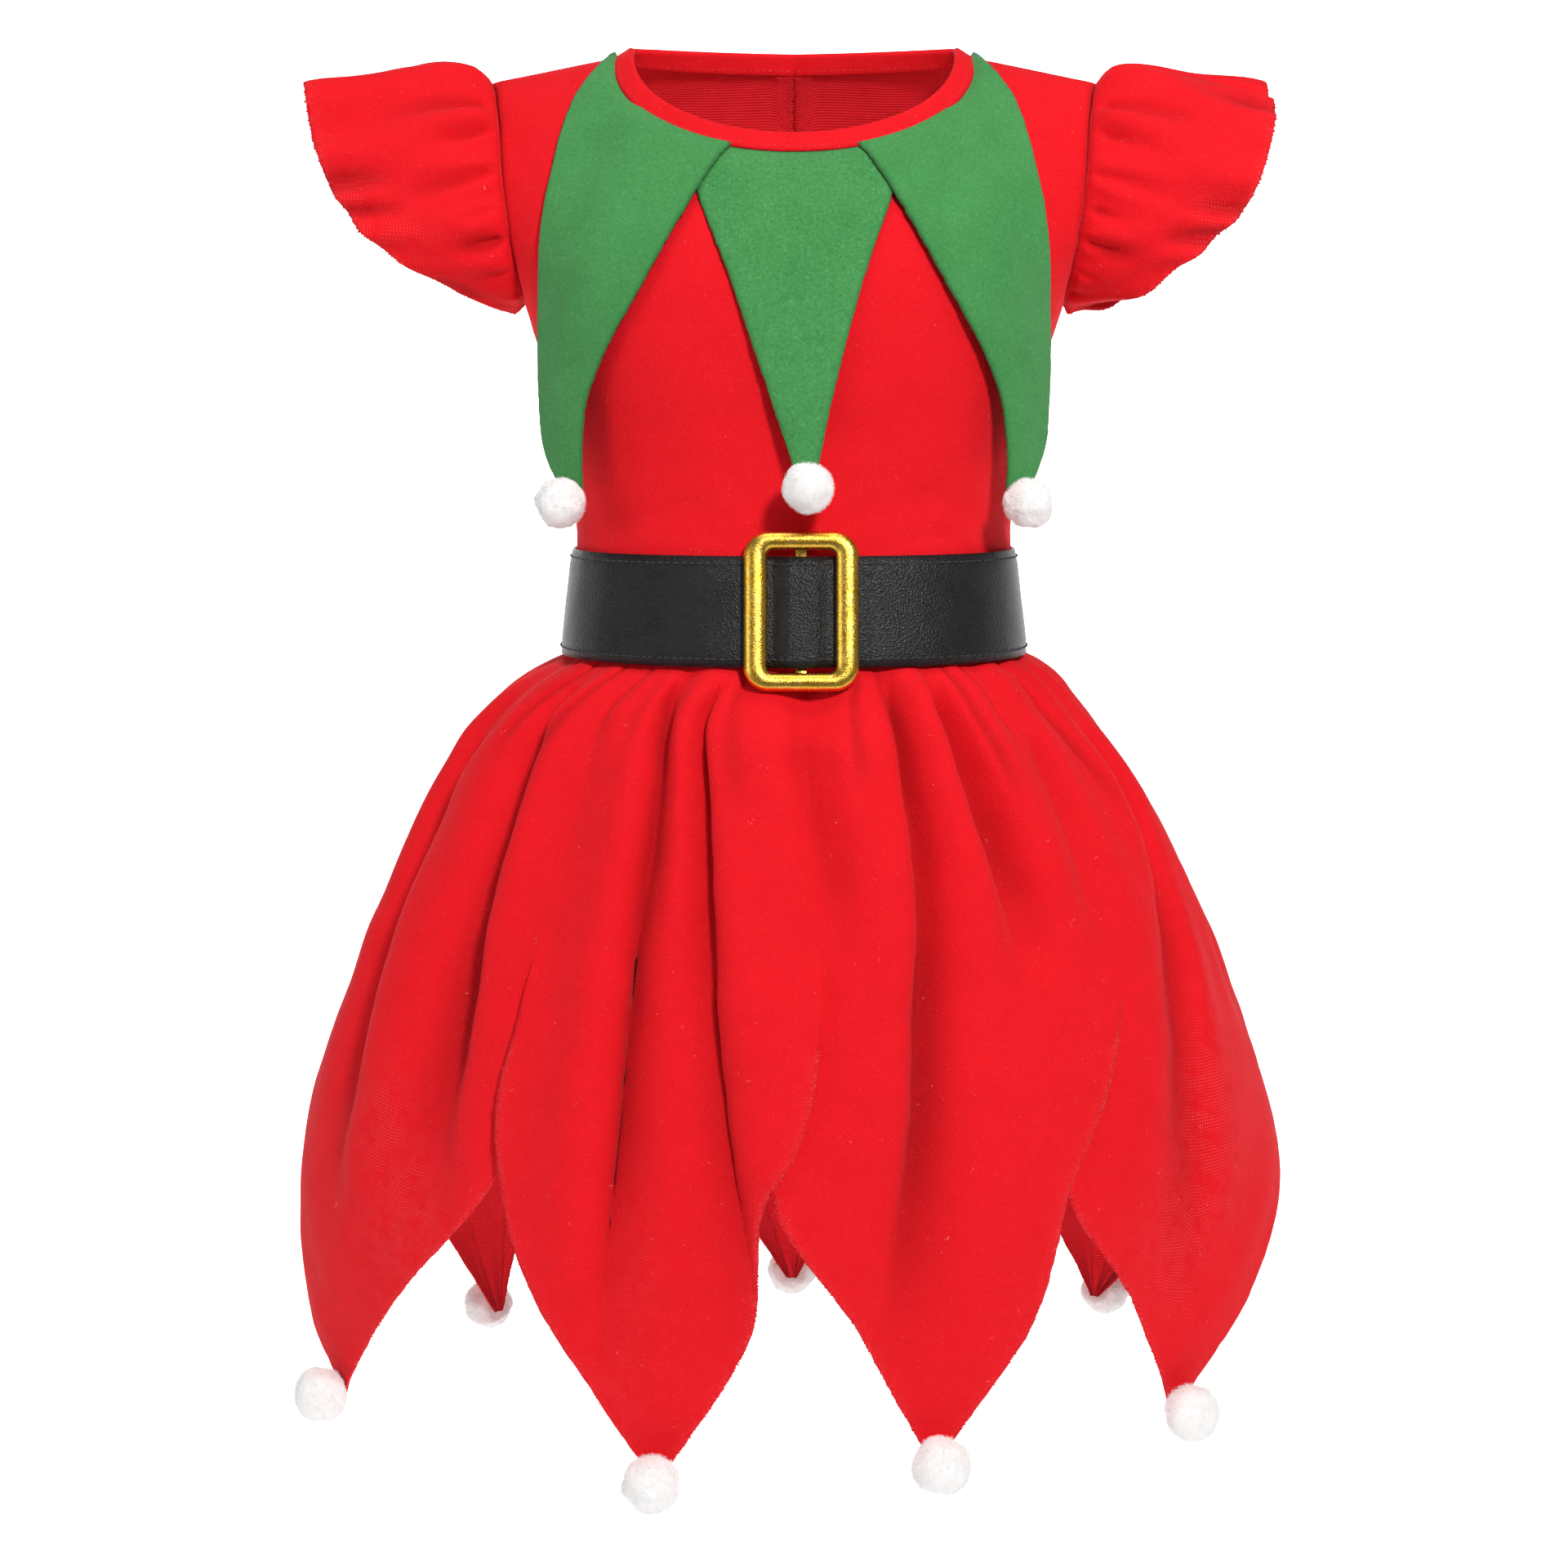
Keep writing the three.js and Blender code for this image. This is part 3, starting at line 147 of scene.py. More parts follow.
# Long troughs of the skirt, the main ones deeper than in the solids. They run from one angle at
# their top to another at their end, over a range of heights below the shoulder. skew makes the side
# of the trough towards +X wider than the other one, and roll is how many degrees the ridge on its
# steep side leans over it.
FOLDS = table(
    "top low start end depth width skew roll",
    (-72, -66, 252, 490, 15, 6, -0.3, -1),
    (-48, -45, 242, 480, 18, 5.6, -0.4, -1.2),
    (-28, -27, 238, 285, 3.5, 3, 0, 0),
    (-23.5, -21, 238, 545, 21, 5.2, 0.5, 2),
    (-12.8, -3.6, 240, 550, 19, 5.4, -0.5, -1.8),
    (1.5, 6, 250, 372, 8, 4.6, 0.4, 0.4),
    (19.6, 11.4, 238, 550, 17, 5, 0.4, 1.7),
    (28.5, 31.5, 238, 375, 18, 5.2, 0.35, 1.3),
    (49, 46, 255, 372, 7, 4.8, 0.2, 0),
    (73, 51, 265, 520, 13, 5.6, -0.3, -0.8),
    (90, 84, 250, 430, 5, 5.5, 0.2, 0),
    (112, 114, 240, 500, 11, 5.2, -0.3, -0.8),
    (127, 129, 238, 420, 8, 4.2, 0.3, 0.6),
    (143, 141, 243, 540, 15, 5, 0.4, 1.3),
    (159, 160, 250, 370, 5.5, 3.6, -0.2, 0),
    (174, 177, 238, 535, 15, 4.8, 0.4, 1.3),
    (190, 193, 240, 450, 11, 4.4, -0.4, -1),
    (206, 205, 252, 370, 5.5, 3.8, 0.2, 0),
    (217, 220, 238, 540, 15, 5, 0.4, 1.3),
    (236, 233, 245, 455, 10, 4.8, -0.3, -0.8),
    (262, 260, 255, 480, 6, 5.5, 0.2, 0),
)

# Short creases that run out from under the belt
PLEATS = table(
    "top low start end depth width skew",
    (-81, -85, 236, 298, 3.3, 1.39, 0.2),
    (-63, -68, 236, 306, 3.6, 1.52, -0.2),
    (-54, -58, 236, 282, 2.7, 1.19, 0.1),
    (-42, -45, 237, 288, 3.0, 1.32, 0.2),
    (-33, -35, 237, 274, 2.2, 1.12, -0.2),
    (-9, -8, 240, 306, 2.4, 1.45, 0.2),
    (12, 12, 240, 292, 2.5, 1.32, -0.1),
    (17, 18, 238, 276, 2.7, 1.12, 0.2),
    (35, 38, 237, 298, 3.0, 1.45, 0.2),
    (41, 44, 237, 274, 2.4, 1.19, -0.2),
    (57, 62, 236, 306, 3.6, 1.52, 0.2),
    (66, 70, 236, 280, 2.7, 1.25, 0),
    (80, 84, 236, 296, 3.0, 1.45, -0.2),
    (101, 102, 237, 290, 3.2, 1.45, 0.1),
    (119, 120, 237, 276, 2.7, 1.19, 0),
    (135, 137, 237, 302, 3.3, 1.45, -0.2),
    (151, 150, 237, 282, 2.8, 1.32, 0.2),
    (167, 166, 237, 306, 3.3, 1.45, 0),
    (182, 183, 237, 280, 2.8, 1.25, 0.2),
    (198, 200, 237, 296, 3.2, 1.45, -0.1),
    (211, 212, 237, 278, 2.5, 1.19, 0.1),
    (228, 230, 237, 306, 3.3, 1.52, 0.2),
    (246, 245, 237, 288, 3.0, 1.39, -0.2),
    (271, 269, 237, 282, 2.8, 1.32, 0),
)

SLEEVE_HEM = table(
    "angle out forward down",
    (0, 201, 0, 2),
    (30, 200.5, 26, 10),
    (60, 194.5, 43, 33),
    (85, 186.5, 49, 52),
    (105, 177.5, 49, 64),
    (120, 167.5, 46, 73),
    (135, 155.5, 40, 81.5),
    (150, 141.5, 31, 91),
    (165, 127, 17, 95),
    (180, 118, 0, 98),
)
Sleeve = namedtuple("Sleeve", "word side phase pulled_in droop")
SLEEVES = [Sleeve("left", -1, 1.3, 0, -1.2), Sleeve("right", 1, 0.4, 2.5, 3.5)]

# Troughs of a sleeve, from an angle at the armhole to one further out. reach is how far out they fade.
SLEEVE_FOLDS = table(
    "root tip reach depth width",
    (18, 12, 0.5, 2.6, 6),
    (45, 52, 1.2, 5.5, 9),
    (60, 68, 0.45, 2.6, 5),
    (82, 90, 0.75, 4.2, 7),
    (99, 106, 0.4, 2.4, 5),
    (115, 128, 0.7, 4.6, 7),
    (134, 140, 0.4, 2.4, 5),
    (152, 156, 0.55, 3, 6),
    (176, 178, 0.4, 2, 6),
    (201, 205, 0.55, 3, 6),
    (220, 217, 0.4, 2.4, 5),
    (243, 238, 0.7, 4.2, 7),
    (262, 259, 0.4, 2.4, 5),
    (285, 280, 1.1, 5, 8.5),
    (305, 303, 0.4, 2.4, 5),
    (331, 338, 0.8, 3.6, 7),
)
SLEEVE_WAVES = 5
SLEEVE_WAVE_DEPTH = 4
SLEEVE_FLUTES = 14
SLEEVE_FLUTE_DEPTH = 2.6
SLEEVE_GATHERS = 13
SLEEVE_GATHER_DEPTH = 2
SLEEVE_LENGTH = 75  # at the shoulder; puffs and folds scale with the length round the armhole

# Outlines of the collar points seen from the front; the left one mirrors the right
SIDE_OUTER = table(
    "across down",
    (73.4, -7.5),
    (84, 3.5),
    (92, 19),
    (98, 45),
    (101.5, 68),
    (103, 100),
    (103, 118),
    (102.8, 136),
    (101, 153),
    (93, 172),
)
SIDE_INNER = table(
    "across down",
    (22.5, 33.5),
    (38, 55.5),
    (57.5, 88),
    (73.5, 114.5),
    (82, 133),
    (84.5, 152),
    (84.5, 172),
)
CENTRE_EDGE = table("across down", (46, 24.5), (37, 55), (27, 83), (17, 116), (9, 145), (3, 169))
CENTRE_LEAN = 5.2
COLLAR_LIFT = 0.7
TIP_LIFT = 1.2  # how much further the points stand off at their tips
RIDGE_LIFT, RIDGE_FADE = 1.9, 50  # how the felt stands off over the shoulder's ridge
COLLAR_LAP = 2.7
COLLAR_BALL_DOWN = 175
CENTRE_BALL_DOWN = 168.5
COLLAR_BALL_ACROSS = 87

# Soft creases of the bodice, as seen from the front: lines between two points in millimetres.
# The same ones mirrored and turned a little serve the back.
BODICE_CREASES = table(
    "x0 z0 x1 z1 depth width",
    (-88, -188, -40, -176, 0.9, 5),
    (90, -186, 52, -172, 0.8, 5),
    (-24, -193, 6, -186, 0.6, 6),
    (30, -192, 62, -188, 0.7, 4.5),
    (-104, -112, -84, -138, 1, 6),
    (104, -112, 86, -140, 1, 6),
    (-111, -78, -98, -96, 0.9, 5),
    (112, -80, 100, -100, 0.9, 5),
    (-114, -30, -100, -52, 0.5, 6),
    (115, -34, 102, -60, 0.5, 6),
)


# Small tools
def rad(degrees):
    return np.radians(degrees)


def lerp(a, b, t):
    return a + (b - a) * t


def smooth(t):
    t = np.clip(t, 0, 1)
    return t * t * (3 - 2 * t)


def signed_power(value, power):
    return np.sign(value) * np.abs(value) ** power


def unit(v):
    return v / np.maximum(np.linalg.norm(v, axis=-1, keepdims=True), 1e-9)


def wrap(degrees):
    return (np.asarray(degrees) + 180) % 360 - 180


def bell(value):
    return np.exp(-(value**2))


def moved(points, normal, distance):
    return points + normal * np.asarray(distance, float)[..., None]


def linked(name, data):
    """A new object of the scene."""
    thing = bpy.data.objects.new(name, data)
    bpy.context.scene.collection.objects.link(thing)
    return thing


def read_table(rows, key, column, place):
    """A column's value between its rows, on a smooth curve through them."""
    x = np.linspace(0, 1, len(rows[column])) if key is None else rows[key]
    y = rows[column]
    place = np.asarray(place, float)
    i = np.clip(np.searchsorted(x, place, side="left") - 1, 0, len(x) - 2)
    span = x[i + 1] - x[i]
    t = np.clip((place - x[i]) / span, 0, 1)
    before = np.maximum(i - 1, 0)
    after = np.minimum(i + 2, len(x) - 1)
    start = (y[i + 1] - y[before]) / (x[i + 1] - x[before]) * span
    end = (y[after] - y[i]) / (x[after] - x[i]) * span
    rise = y[i + 1] - y[i]
    return y[i] + t * (start + t * (3 * rise - 2 * start - end + t * (start + end - 2 * rise)))


def ripple(points, seed, wave, count=7):
    """Soft unevenness between about -1 and 1, at a wavelength in millimetres."""
    rng = np.random.default_rng(seed)
    total = np.zeros(points.shape[:-1])
    for _ in range(count):
        direction = unit(rng.normal(size=3))
        total += np.sin(points @ direction * 2 * np.pi / (wave * rng.uniform(0.7, 1.5)) + rng.uniform(0, 6.3))
    return total / math.sqrt(count)


# The torso's form, as in the solids
def section_at(drape, down, front):
    width = read_table(TORSO, "down", "drape_width" if drape else "width", down)
    ahead = read_table(TORSO, "down", "drape_front" if drape else "front", down)
    return width, np.where(front, ahead, read_table(TORSO, "down", "back", down))


def shoulder_height(across):
    return SHOULDER_PEAK - SHOULDER_SLOPE * np.abs(across)


def torso_point(turn, fall, drape=False):
    turn, fall = np.broadcast_arrays(np.asarray(turn, float), np.asarray(fall, float))
    side = signed_power(np.sin(rad(turn)), 2 / SQUARENESS)
    ahead = signed_power(np.cos(rad(turn)), 2 / SQUARENESS)
    bend = np.minimum(fall / SHOULDER_ROUND, np.pi / 2)
    straight = fall - bend * SHOULDER_ROUND
    down = fall
    width, depth = section_at(drape, down, ahead > 0)
    for _ in range(8):
        down = SHOULDER_ROUND * (1 - np.cos(bend)) + straight - shoulder_height(width * side)
        width, depth = section_at(drape, down, ahead > 0)
    return np.stack([width * side, -depth * ahead * np.sin(bend), -down], -1)


def drape_point(turn, fall):
    return torso_point(turn, fall, True)


def fall_at(turn, down, drape=False):
    width, _ = section_at(drape, down, True)
    across = width * signed_power(np.sin(rad(turn)), 2 / SQUARENESS)
    depth = np.maximum(shoulder_height(across) + down, 0)
    bent = SHOULDER_ROUND * np.arccos(np.clip(1 - depth / SHOULDER_ROUND, -1, 1))
    return np.where(depth < SHOULDER_ROUND, bent, SHOULDER_ROUND * (np.pi / 2 - 1) + depth)


def turn_at(across, down, drape=False):
    width, _ = section_at(drape, down, True)
    share = np.clip(across / width, -1, 1)
    return np.degrees(np.arcsin(signed_power(share, SQUARENESS / 2)))


def normal_of(form, turn, fall, turn_step=0.4, fall_step=0.8):
    along = form(turn, fall + fall_step) - form(turn, fall - fall_step)
    across = form(turn + turn_step, fall) - form(turn - turn_step, fall)
    return unit(np.cross(along, across))


def lifted(form, turn, fall, lift=0.0):
    """Points of a form moved out by lift, and the outward directions there."""
    normal = normal_of(form, turn, fall)
    return moved(form(turn, fall), normal, lift), normal


# Meshes
def reach_along(points, axis):
    """Distance along a grid's lines from its first point."""
    steps = np.linalg.norm(np.diff(points, axis=axis), axis=-1)
    start = np.zeros_like(np.take(steps, [0], axis=axis))
    return np.concatenate([start, np.cumsum(steps, axis=axis)], axis=axis)


def side_distances(points):
    across = reach_along(points, 1)
    down = reach_along(points, 0)
    return {
        "left": across,
        "right": across[:, -1:] - across,
        "top": down,
        "bottom": down[-1:] - down,
    }


def add_object(name, points, faces, materials, slot, face_material=None, uv=None, marks=None, crisp=None):
    """A smooth-shaded object of the dress. points are in millimetres; marks are values by vertex, and
    shading breaks at edges between two crisp vertices."""
    mesh = bpy.data.meshes.new(name)
    mesh.from_pydata((np.asarray(points) * MM).tolist(), [], [list(f) for f in faces])
    for material in materials:
        mesh.materials.append(material)
    if face_material is not None:
        mesh.polygons.foreach_set("material_index", np.asarray(face_material, np.int32))
    mesh.polygons.foreach_set("use_smooth", np.ones(len(mesh.polygons), bool))
    if uv is not None:
        corners = np.zeros(len(mesh.loops), np.int32)
        mesh.loops.foreach_get("vertex_index", corners)
        layer = mesh.uv_layers.new(name="cloth")
        layer.data.foreach_set("uv", (np.asarray(uv) * MM)[corners].ravel())
    for key, values in (marks or {}).items():
        attribute = mesh.attributes.new(key, "FLOAT", "POINT")
        attribute.data.foreach_set("value", np.asarray(values, np.float32))
    mesh.update()
    if crisp is not None:
        ends = np.zeros(2 * len(mesh.edges), np.int32)
        mesh.edges.foreach_get("vertices", ends)
        sharp = mesh.attributes.new("sharp_edge", "BOOLEAN", "EDGE")
        sharp.data.foreach_set("value", crisp[ends.reshape(-1, 2)].all(axis=1))
    piece = linked(name, mesh)
    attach(piece, "root")
    return piece


def facing_out(points, quads):
    """A closed surface's four-cornered faces, turned round if they face inwards."""
    a, b, c, d = (points[quads[:, k]] for k in range(4))
    volume = np.sum(a * (np.cross(b, c) + np.cross(c, d)))
    return quads if volume > 0 else quads[:, ::-1]


def wall(name, outer, inner, materials, slot, ring=False, marks=None, seam_rows=None):
    """A closed wall between two grids of points. Its outer face takes the first material, its inner
    face and rims the others. seam_rows are the rows whose side rims meet a neighbour smoothly."""
    high, wide = outer.shape[:2]
    count = high * wide
    index = np.arange(count).reshape(high, wide)
    if ring:
        index = np.concatenate([index, index[:, :1]], axis=1)

    def quads(grid):
        corners = [grid[:-1, :-1], grid[1:, :-1], grid[1:, 1:], grid[:-1, 1:]]
        return np.stack(corners, -1).reshape(-1, 4)

    def rim(line):
        return np.stack([line[:-1], line[1:], line[1:] + count, line[:-1] + count], -1)

    out, back = quads(index), quads(index)[:, ::-1] + count
    rims = [rim(index[0]), rim(index[-1])[:, ::-1]]
    if not ring:
        rims += [rim(index[:, 0])[:, ::-1], rim(index[:, -1])]
    rims = np.concatenate(rims)
    points = np.concatenate([outer.reshape(-1, 3), inner.reshape(-1, 3)])
    faces = facing_out(points, np.concatenate([out, back, rims]))
    kinds = np.concatenate([np.zeros(len(out)), np.ones(len(back)), np.full(len(rims), len(materials) - 1)])
    across, down = reach_along(outer, 1), reach_along(outer, 0)
    middle = across[:, wide // 2 : wide // 2 + 1]
    flat = np.stack([across - middle, down], -1).reshape(-1, 2)
    both = {key: np.concatenate([v.ravel(), v.ravel()]) for key, v in (marks or {}).items()}
    crisp = None
    if seam_rows is not None:
        crisp = np.zeros((2, high, wide), bool)
        crisp[:, seam_rows, 0] = crisp[:, seam_rows, -1] = True
        crisp = crisp.ravel()
    return add_object(name, points, faces, materials, slot, kinds, np.concatenate([flat, flat]), both, crisp)


def rim_distance(away):
    return np.minimum.reduce(list(away.values()))


def soften_rims(outer, inner, ring=False, side_share=0.3):
    """Draws the two faces together at a wall's rims, so that they look rolled and not cut square.
    side_share is how far at the left and right rims, as one number or one for each row."""
    middle = (outer + inner) / 2
    for face in (outer, inner):
        for row in (0, -1):
            face[row] = lerp(face[row], middle[row], 0.3)
        if not ring:
            for column in (0, -1):
                face[:, column] = lerp(face[:, column], middle[:, column], side_share)


def tube_faces(count, sides, ring):
    """Faces of a bar through stations of points, with fan caps when it isn't a ring."""
    at = lambda k, s: (k % count) * sides + s % sides
    spans = count if ring else count - 1
    faces = [
        (at(k, s), at(k, s + 1), at(k + 1, s + 1), at(k + 1, s)) for k in range(spans) for s in range(sides)
    ]
    if not ring:
        faces.append(tuple(range(sides))[::-1])
        faces.append(tuple((count - 1) * sides + s for s in range(sides)))
    return faces


def thread_run(path, normal, pitch, length, radius, jitter=0.12, seed=1):
    """Sewing stitches along a path of points: short plump bars that dip at both ends."""
    rng = np.random.default_rng(seed)
    reach = np.concatenate([[0], np.cumsum(np.linalg.norm(np.diff(path, axis=0), axis=1))])
    starts = np.arange(pitch / 2, reach[-1] - length, pitch)
    starts = starts + rng.uniform(-jitter, jitter, len(starts)) * pitch
    shares = np.array([0, 0.16, 0.5, 0.84, 1])
    heights = np.array([-0.9, 0.15, 0.5, 0.15, -0.9]) * radius
    sizes = np.array([0.45, 0.95, 1, 0.95, 0.45]) * radius
    sides = 6
    angles = np.arange(sides) * 2 * np.pi / sides
    places = starts[:, None] + shares * length
    at = np.stack([np.interp(places, reach, path[:, k]) for k in range(3)], -1)
    up = unit(np.stack([np.interp(places, reach, normal[:, k]) for k in range(3)], -1))
    along = unit(at[:, -1:] - at[:, :1])
    beside = unit(np.cross(up, along))
    ring = beside[:, :, None] * np.cos(angles)[:, None] + up[:, :, None] * np.sin(angles)[:, None]
    lifts = up[:, :, None] * heights[None, :, None, None]
    points = at[:, :, None] + lifts + ring * sizes[None, :, None, None]
    one = tube_faces(len(shares), sides, False)
    per = len(shares) * sides
    faces = [tuple(c + k * per for c in face[::-1]) for k in range(len(starts)) for face in one]
    return points.reshape(-1, 3), faces


def joined(runs):
    """Several point and face lists as one."""
    points, faces, base = [], [], 0
    for run_points, run_faces in runs:
        points.append(run_points)
        faces += [tuple(c + base for c in face) for face in run_faces]
        base += len(run_points)
    return np.concatenate(points), faces


def edge_knots(path, radius, pitch, seed):
    """Tiny uneven lumps along a cut or overlocked edge, as eight-sided beads."""
    rng = np.random.default_rng(seed)
    reach = np.concatenate([[0], np.cumsum(np.linalg.norm(np.diff(path, axis=0), axis=1))])
    places = np.arange(pitch, reach[-1] - pitch, pitch)
    places = places + rng.uniform(-0.3, 0.3, len(places)) * pitch
    at = np.stack([np.interp(places, reach, path[:, k]) for k in range(3)], -1)
    at += rng.normal(0, radius * 0.3, at.shape)
    size = radius * rng.uniform(0.6, 1.35, (len(at), 1, 1))
    star = np.array([[1, 0, 0], [-1, 0, 0], [0, 1, 0], [0, -1, 0], [0, 0, 1], [0, 0, -1]], float)
    points = at[:, None] + star * size
    one = [(0, 2, 4), (2, 1, 4), (1, 3, 4), (3, 0, 4), (2, 0, 5), (1, 2, 5), (3, 1, 5), (0, 3, 5)]
    faces = [tuple(c + 6 * k for c in face) for k in range(len(at)) for face in one]
    return points.reshape(-1, 3), faces


# Materials
class Shader:
    """A material's node tree with short ways to add its nodes."""

    def __init__(self, name, roughness, metallic=0.0, specular=0.5, **sockets):
        self.material = bpy.data.materials.new(name)
        self.material.use_nodes = True
        self.tree = self.material.node_tree
        self.bsdf = self.tree.nodes["Principled BSDF"]
        self.bsdf.inputs["Roughness"].default_value = roughness
        self.bsdf.inputs["Metallic"].default_value = metallic
        self.bsdf.inputs["Specular IOR Level"].default_value = specular
        for socket, value in sockets.items():
            self.bsdf.inputs[socket.replace("_", " ")].default_value = value
        self.place = self.tree.nodes.new("ShaderNodeTexCoord").outputs["Object"]

    def node(self, kind, inputs=None, **settings):
        node = self.tree.nodes.new("ShaderNode" + kind)
        for key, value in settings.items():
            setattr(node, key, value)
        for key, value in (inputs or {}).items():
            if isinstance(value, bpy.types.NodeSocket):
                self.tree.links.new(value, node.inputs[key])
            else:
                node.inputs[key].default_value = value
        return node

    def noise(self, scale, detail=3.0, roughness=0.6, vector=None, distortion=0.0):
        inputs = {"Scale": scale, "Detail": detail, "Roughness": roughness, "Distortion": distortion}
        return self.node("TexNoise", {"Vector": vector or self.place, **inputs}).outputs["Fac"]

    def ramp(self, value, low, high, low_out=0.0, high_out=1.0):
        inputs = {0: value, 1: low, 2: high, 3: low_out, 4: high_out}
        return self.node("MapRange", inputs, clamp=True).outputs[0]

    def math(self, operation, a, b=0.0):
        return self.node("Math", {0: a, 1: b}, operation=operation).outputs[0]

    def times(self, a, b):
        return self.math("MULTIPLY", a, b)

    def mix(self, share, a, b):
        first, second = ((*c, 1) if isinstance(c, tuple) else c for c in (a, b))
        return self.node("Mix", {0: share, 6: first, 7: second}, data_type="RGBA").outputs[2]

    def mark(self, name):
        return self.node("Attribute", attribute_name=name).outputs["Fac"]

    def cloth_uv(self, across, down):
        """The cloth's flat coordinates, scaled so that one unit is one repeat."""
        uv = self.node("UVMap", uv_map="cloth").outputs[0]
        scale = (1 / (across * MM), 1 / (down * MM), 1)
        return self.node("Mapping", {"Vector": uv, "Scale": scale}).outputs[0]

    def colour(self, value):
        self.tree.links.new(value, self.bsdf.inputs["Base Color"])

    def rough(self, value):
        self.tree.links.new(value, self.bsdf.inputs["Roughness"])

    def bump(self, *layers):
        """Height layers as (value, depth in millimetres)."""
        normal = None
        for value, depth in layers:
            inputs = {"Height": value, "Strength": 1.0, "Distance": depth * MM}
            if normal is not None:
                inputs["Normal"] = normal
            normal = self.node("Bump", inputs).outputs[0]
        self.tree.links.new(normal, self.bsdf.inputs["Normal"])


def stitch_rows(shader, across, down):
    """The knit's lattice: rounded loops, staggered by half a loop in each row."""
    uv = shader.cloth_uv(across, down)
    split = shader.node("SeparateXYZ", {0: uv})
    u, v = split.outputs[0], split.outputs[1]
    row = shader.math("SINE", shader.times(v, 2 * math.pi))
    swing = shader.times(row, 0.16)
    column = shader.math("SINE", shader.times(shader.math("ADD", u, swing), 2 * math.pi))
    return row, column


def red_knit(name, inside=False):
    """Brushed knit: a short nap outside, the knit's bare rows inside."""
    bright, deep, pale = (0.85, 0.0045, 0.0125), (0.74, 0.002, 0.0075), (0.97, 0.075, 0.085)
    if inside:
        # The wrong side's colours are painted lighter than the face's: painted light for the insides, such as
        # the inside of the neck, which the lamps reach less.
        bright, deep, pale = (0.93, 0.02, 0.035), (0.74, 0.009, 0.018), (0.95, 0.06, 0.07)
    shader = Shader(
        name,
        roughness=0.88,
        specular=0.22,
        Sheen_Weight=0.08 if inside else 0.16,
        Sheen_Roughness=0.45,
        Sheen_Tint=(1.0, 0.16, 0.18, 1),
    )
    mottle = shader.noise(70, 4, 0.65)
    nap = shader.noise(1500, 3, 0.7)
    tufts = shader.noise(520, 3, 0.65)
    lint = shader.noise(420, 2, 0.5, distortion=1.5)
    row, column = stitch_rows(shader, 1.05, 1.35)
    loops = shader.times(shader.ramp(row, 0.1, 0.9), shader.ramp(column, 0.0, 0.9))
    colour = shader.mix(shader.ramp(mottle, 0.3, 0.7, 0.55, 1.0), deep, bright)
    # Painted shade: the colour goes to a dark red where the crease mark says a point lies deep in a trough or
    # a seam dip.
    colour = shader.mix(shader.times(shader.mark("crease_shade"), 0.8), colour, (0.34, 0.0, 0.002))
    colour = shader.mix(shader.ramp(nap, 0.55, 0.8, 0.0, 0.3), colour, pale)
    colour = shader.mix(shader.ramp(tufts, 0.5, 0.3, 0.0, 0.35), colour, deep)
    if inside:
        colour = shader.mix(shader.ramp(row, -1, 1, 0.3, 0.0), colour, deep)
        shader.colour(colour)
        shader.bump((row, 0.09), (loops, 0.09), (nap, 0.08))
        return shader.material
    colour = shader.mix(shader.ramp(lint, 0.73, 0.79, 0.0, 0.4), colour, (1.0, 0.3, 0.3))
    # Where the nap is worn the knit's loops show through; their shine is painted into the colour as a lighter
    # pink, a painted sheen.
    wear_and_sheen = shader.times(shader.mark("wear_and_sheen"), shader.ramp(shader.noise(140, 2), 0.38, 0.55))
    dots = shader.times(loops, wear_and_sheen)
    colour = shader.mix(shader.times(dots, 0.55), colour, (1.0, 0.24, 0.25))
    cut = shader.times(shader.mark("edge"), shader.ramp(shader.noise(900, 2), 0.45, 0.7))
    colour = shader.mix(shader.times(cut, 0.35), colour, (0.95, 0.16, 0.18))
    shader.colour(colour)
    shader.bump((tufts, 0.3), (nap, 0.2), (loops, 0.04), (dots, 0.12))
    return shader.material


def green_felt(name, strength):
    """Heathered felt; strength is how far its fibres differ in colour."""
    shader = Shader(name, roughness=0.92, specular=0.2, Sheen_Weight=0.12, Sheen_Roughness=0.5)
    coarse = shader.noise(820, 3, 0.7, distortion=0.6)
    fine = shader.noise(1900, 2, 0.7)
    cloud = shader.noise(45, 3)
    base = (0.052, 0.262, 0.066)
    colour = shader.mix(shader.ramp(cloud, 0.3, 0.7), base, (0.066, 0.3, 0.082))
    colour = shader.mix(shader.ramp(coarse, 0.5, 0.3, 0.0, 0.55 * strength), colour, (0.018, 0.125, 0.028))
    colour = shader.mix(shader.ramp(coarse, 0.56, 0.74, 0.0, 0.6 * strength), colour, (0.16, 0.46, 0.19))
    colour = shader.mix(shader.ramp(fine, 0.55, 0.8, 0.0, 0.35 * strength), colour, (0.2, 0.5, 0.24))
    colour = shader.mix(shader.times(shader.mark("edge"), 0.6), colour, (0.02, 0.115, 0.025))
    shader.colour(colour)
    shader.bump((coarse, 0.28), (fine, 0.14))
    return shader.material


def black_strap(name, inside=False):
    """Fine-grained imitation leather with a half gloss; woven backing inside."""
    shader = Shader(name, roughness=0.9 if inside else 0.45, specular=0.2 if inside else 0.3)
    grain = shader.node("TexVoronoi", {"Vector": shader.place, "Scale": 1200.0}, feature="F1").outputs[0]
    fine = shader.noise(2600, 2, 0.6)
    cloud = shader.noise(90, 3)
    colour = shader.mix(shader.ramp(cloud, 0.3, 0.7), (0.009, 0.009, 0.01), (0.014, 0.014, 0.0155))
    colour = shader.mix(shader.times(shader.mark("edge"), 0.5), colour, (0.006, 0.006, 0.007))
    shader.colour(colour)
    gloss = (0.85, 0.95) if inside else (0.3, 0.44)
    shader.rough(shader.ramp(fine, 0.3, 0.7, *gloss))
    shader.bump((grain, 0.26), (fine, 0.08), (cloud, 0.25))
    return shader.material


